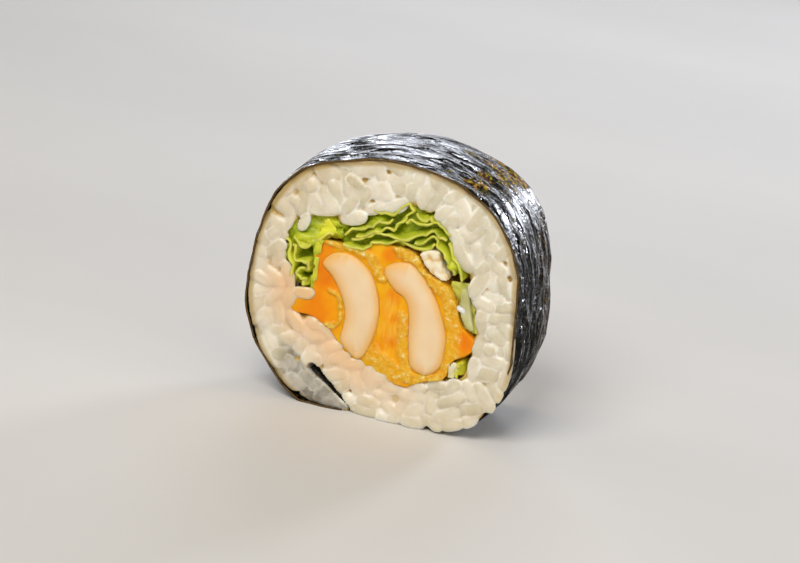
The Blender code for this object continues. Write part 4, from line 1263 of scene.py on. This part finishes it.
# %% The rib, the leaf heart and the crumb
RIB = ((14.9, 3.7), (16.2, 3.8), (16.9, 1.2), (17.6, -1.8), (18.2, -3.8), (16.4, -3.0), (15.2, -0.4))
HEART = (
    (14.5, -13.7), (14.3, -12.0), (15.0, -10.4), (15.9, -10.2), (16.4, -11.4), (16.2, -12.8), (15.6, -13.9),
)


def moist_rib(name, *stops):
    """The watery flesh of a leaf's rib: smooth, pale and let through by the light."""
    finish, tree, shader = new_finish(name)
    where = add(tree, "TexCoord", None, "Object")
    strand = add(tree, "TexNoise", Vector=where, Scale=every(3.33), Detail=3.0)
    colour = add(tree, "ValToRGB", {"stops": stops}, Fac=strand)
    relief = add(tree, "Bump", Strength=0.2, Distance=0.0003, Height=strand)
    plug(tree, shader, Base_Color=colour, Roughness=0.3, Normal=relief)
    plug(tree, shader, Subsurface_Weight=0.5, Subsurface_Radius=(0.8, 1.0, 0.4), Subsurface_Scale=0.0015)
    return finish


rib_finish = moist_rib("pale_lettuce_rib", (0.3, "#b4b070"), (0.55, "#c8c68c"), (0.75, "#e0dfb4"))
heart_finish = moist_rib("whitish_lettuce_heart", (0.3, "#e2e09a"), (0.55, "#f2eec0"), (0.75, "#f8f6d8"))
bm = remesh(solid(np.linspace(-CUT, CUT, 7), bundled(smooth_line(RIB, 5, closed=True))), 0.3)
relax(bm, 4)
push_out(bm, lambda x, y, z: 0.15 * wobble(20, x / 2.0, y / 4.0, z / 2.0))
rib = finish_piece("leaf_rib", bm, rib_finish, "lettuce_rib", "lettuce_rib")
print("rib:", len(rib.data.polygons), "faces")
make_face("leaf_heart", HEART, -1.0, 0.2, 0.6, 118, finish=heart_finish)
bm = bmesh.new()
add_grain(bm, (15.4, 0.1), -CUT + 0.5, -0.3, 0.0, 2.5, 1.3, -1.0, 0.3)
# The crumb takes the painted rim highlight all over.
write_marks(bm, tone=1.0, rim=1.0, oil=0.0, strip=0.0, edge=0.0, pit=0.0)
finish_piece("rice_crumb", bm, rice_finish, "rice")

# %% [markdown]
# ## Floor, light and camera
#
# The floor is one pale sheet that curves up into a backdrop. The key is a large soft light from the
# upper left, which shapes the grains. Nori is a dark mirror, so what makes it show is what it
# reflects: small lights stand low behind the slice, where the sheet's top and right shoulder mirror
# them, and one lies on the floor for its upper left. They are weak, because they light the rear cut too.

# %% Floor and backdrop
FLOOR_WIDTH = 5.0
bm = bmesh.new()
bmesh.ops.create_grid(bm, x_segments=1, y_segments=60, size=0.5)
for v in bm.verts:
    run = (v.co.y + 0.5) * 4.6
    bend = max(0.0, min(1.0, (run - 3.2) / 0.6)) * math.pi / 2
    up = 0.38 * (1.0 - math.cos(bend)) + max(0.0, run - 3.8)
    v.co = Vector((v.co.x * FLOOR_WIDTH, -1.8 + min(run, 3.2) + 0.38 * math.sin(bend), up))
mesh = bpy.data.meshes.new("floor")
bm.to_mesh(mesh)
bm.free()
mesh.shade_smooth()
floor = bpy.data.objects.new("floor", mesh)
bpy.context.scene.collection.objects.link(floor)
# A matte board gives the eye nothing but a soft shadow to stand the slice on.
floor_finish, tree, shader = new_finish("matte_pale_board")
# With no coordinates given, a pattern is laid out over the floor's whole width.
paper = add(tree, "TexNoise", Scale=FLOOR_WIDTH / 0.125, Detail=3.0)
board = add(tree, "ValToRGB", {"stops": ((0.3, "#dad8d4"), (0.7, "#e0deda"))}, Fac=paper)
plug(tree, shader, Base_Color=board, Roughness=0.8)
mesh.materials.append(floor_finish)
print(f"floor: {FLOOR_WIDTH} m wide")


# %% Lights
def soft_light(name, spot, aim, size, watts, colour, spread=180.0):
    """A rectangular area light at the spot that points at the aim, hidden from the camera."""
    lamp = bpy.data.lights.new(name, "AREA")
    lamp.shape = "RECTANGLE"
    lamp.size, lamp.size_y = size
    lamp.energy = watts
    lamp.spread = math.radians(spread)
    lamp.color = srgb(colour)[:3]
    holder = bpy.data.objects.new(name, lamp)
    holder.location = spot
    holder.rotation_euler = (Vector(aim) - Vector(spot)).to_track_quat("-Z", "Y").to_euler()
    holder.visible_camera = False
    bpy.context.scene.collection.objects.link(holder)


aim = (0.0, 0.0, 0.025)
soft_light("key", (-0.12, -0.62, 0.7), aim, (0.5, 0.5), 6.5, "#fffaf4")
soft_light("fill", (0.6, -0.6, 0.25), aim, (0.6, 0.6), 1.6, "#fff4e8")
soft_light("top_rim", (-0.16, 0.8, 0.3), aim, (0.42, 0.18), 0.56, "#eef3ff", 90.0)
soft_light("right_rim", (0.27, 0.8, 0.2), aim, (0.14, 0.12), 0.5, "#eef3ff", 70.0)
soft_light("left_glow", (-0.2, 0.47, 0.003), (-0.2, 0.47, 1.0), (0.2, 0.6), 0.6, "#ffffff")
soft_light("left_rim", (-0.33, 0.8, 0.1), aim, (0.12, 0.16), 0.14, "#eef3ff", 90.0)
world = bpy.data.worlds.new("studio")
world.use_nodes = True
plug(world.node_tree, world.node_tree.nodes["Background"], Color=srgb("#e8e6e2"), Strength=0.2)
bpy.context.scene.world = world
bpy.context.scene.view_settings.view_transform = "Standard"
bpy.context.scene.view_settings.look = "None"
print("lights:", len(bpy.data.lights))

# %% [markdown]
# The camera looks slightly down on the cut from its right and is rolled a little. A long lens from
# further off keeps the shape of the section true, where a short one would swell its middle.

# %% Camera
AZIMUTH, ELEVATION, ROLL = (math.radians(value) for value in (14.5, 16.7, 9.0))
DISTANCE = 0.6
LOOK_AT = Vector((-0.35, 0.0, AXIS_HEIGHT - 1.0)) * MM
level = math.cos(ELEVATION)
ahead = Vector((-math.sin(AZIMUTH) * level, math.cos(AZIMUTH) * level, -math.sin(ELEVATION)))
right = Vector((math.cos(AZIMUTH), math.sin(AZIMUTH), 0.0))
above = right.cross(ahead)
rolled_right = math.cos(ROLL) * right + math.sin(ROLL) * above
rolled_above = -math.sin(ROLL) * right + math.cos(ROLL) * above
lens = bpy.data.cameras.new("camera")
lens.sensor_width = 36.0
lens.lens = 141.0
lens.clip_start = 0.01
camera = bpy.data.objects.new("camera", lens)
facing = Matrix((rolled_right, rolled_above, -ahead)).transposed().to_4x4()
camera.matrix_world = Matrix.Translation(LOOK_AT - ahead * DISTANCE) @ facing
bpy.context.scene.collection.objects.link(camera)
bpy.context.scene.camera = camera
print("camera:", [round(value, 3) for value in camera.matrix_world.translation])
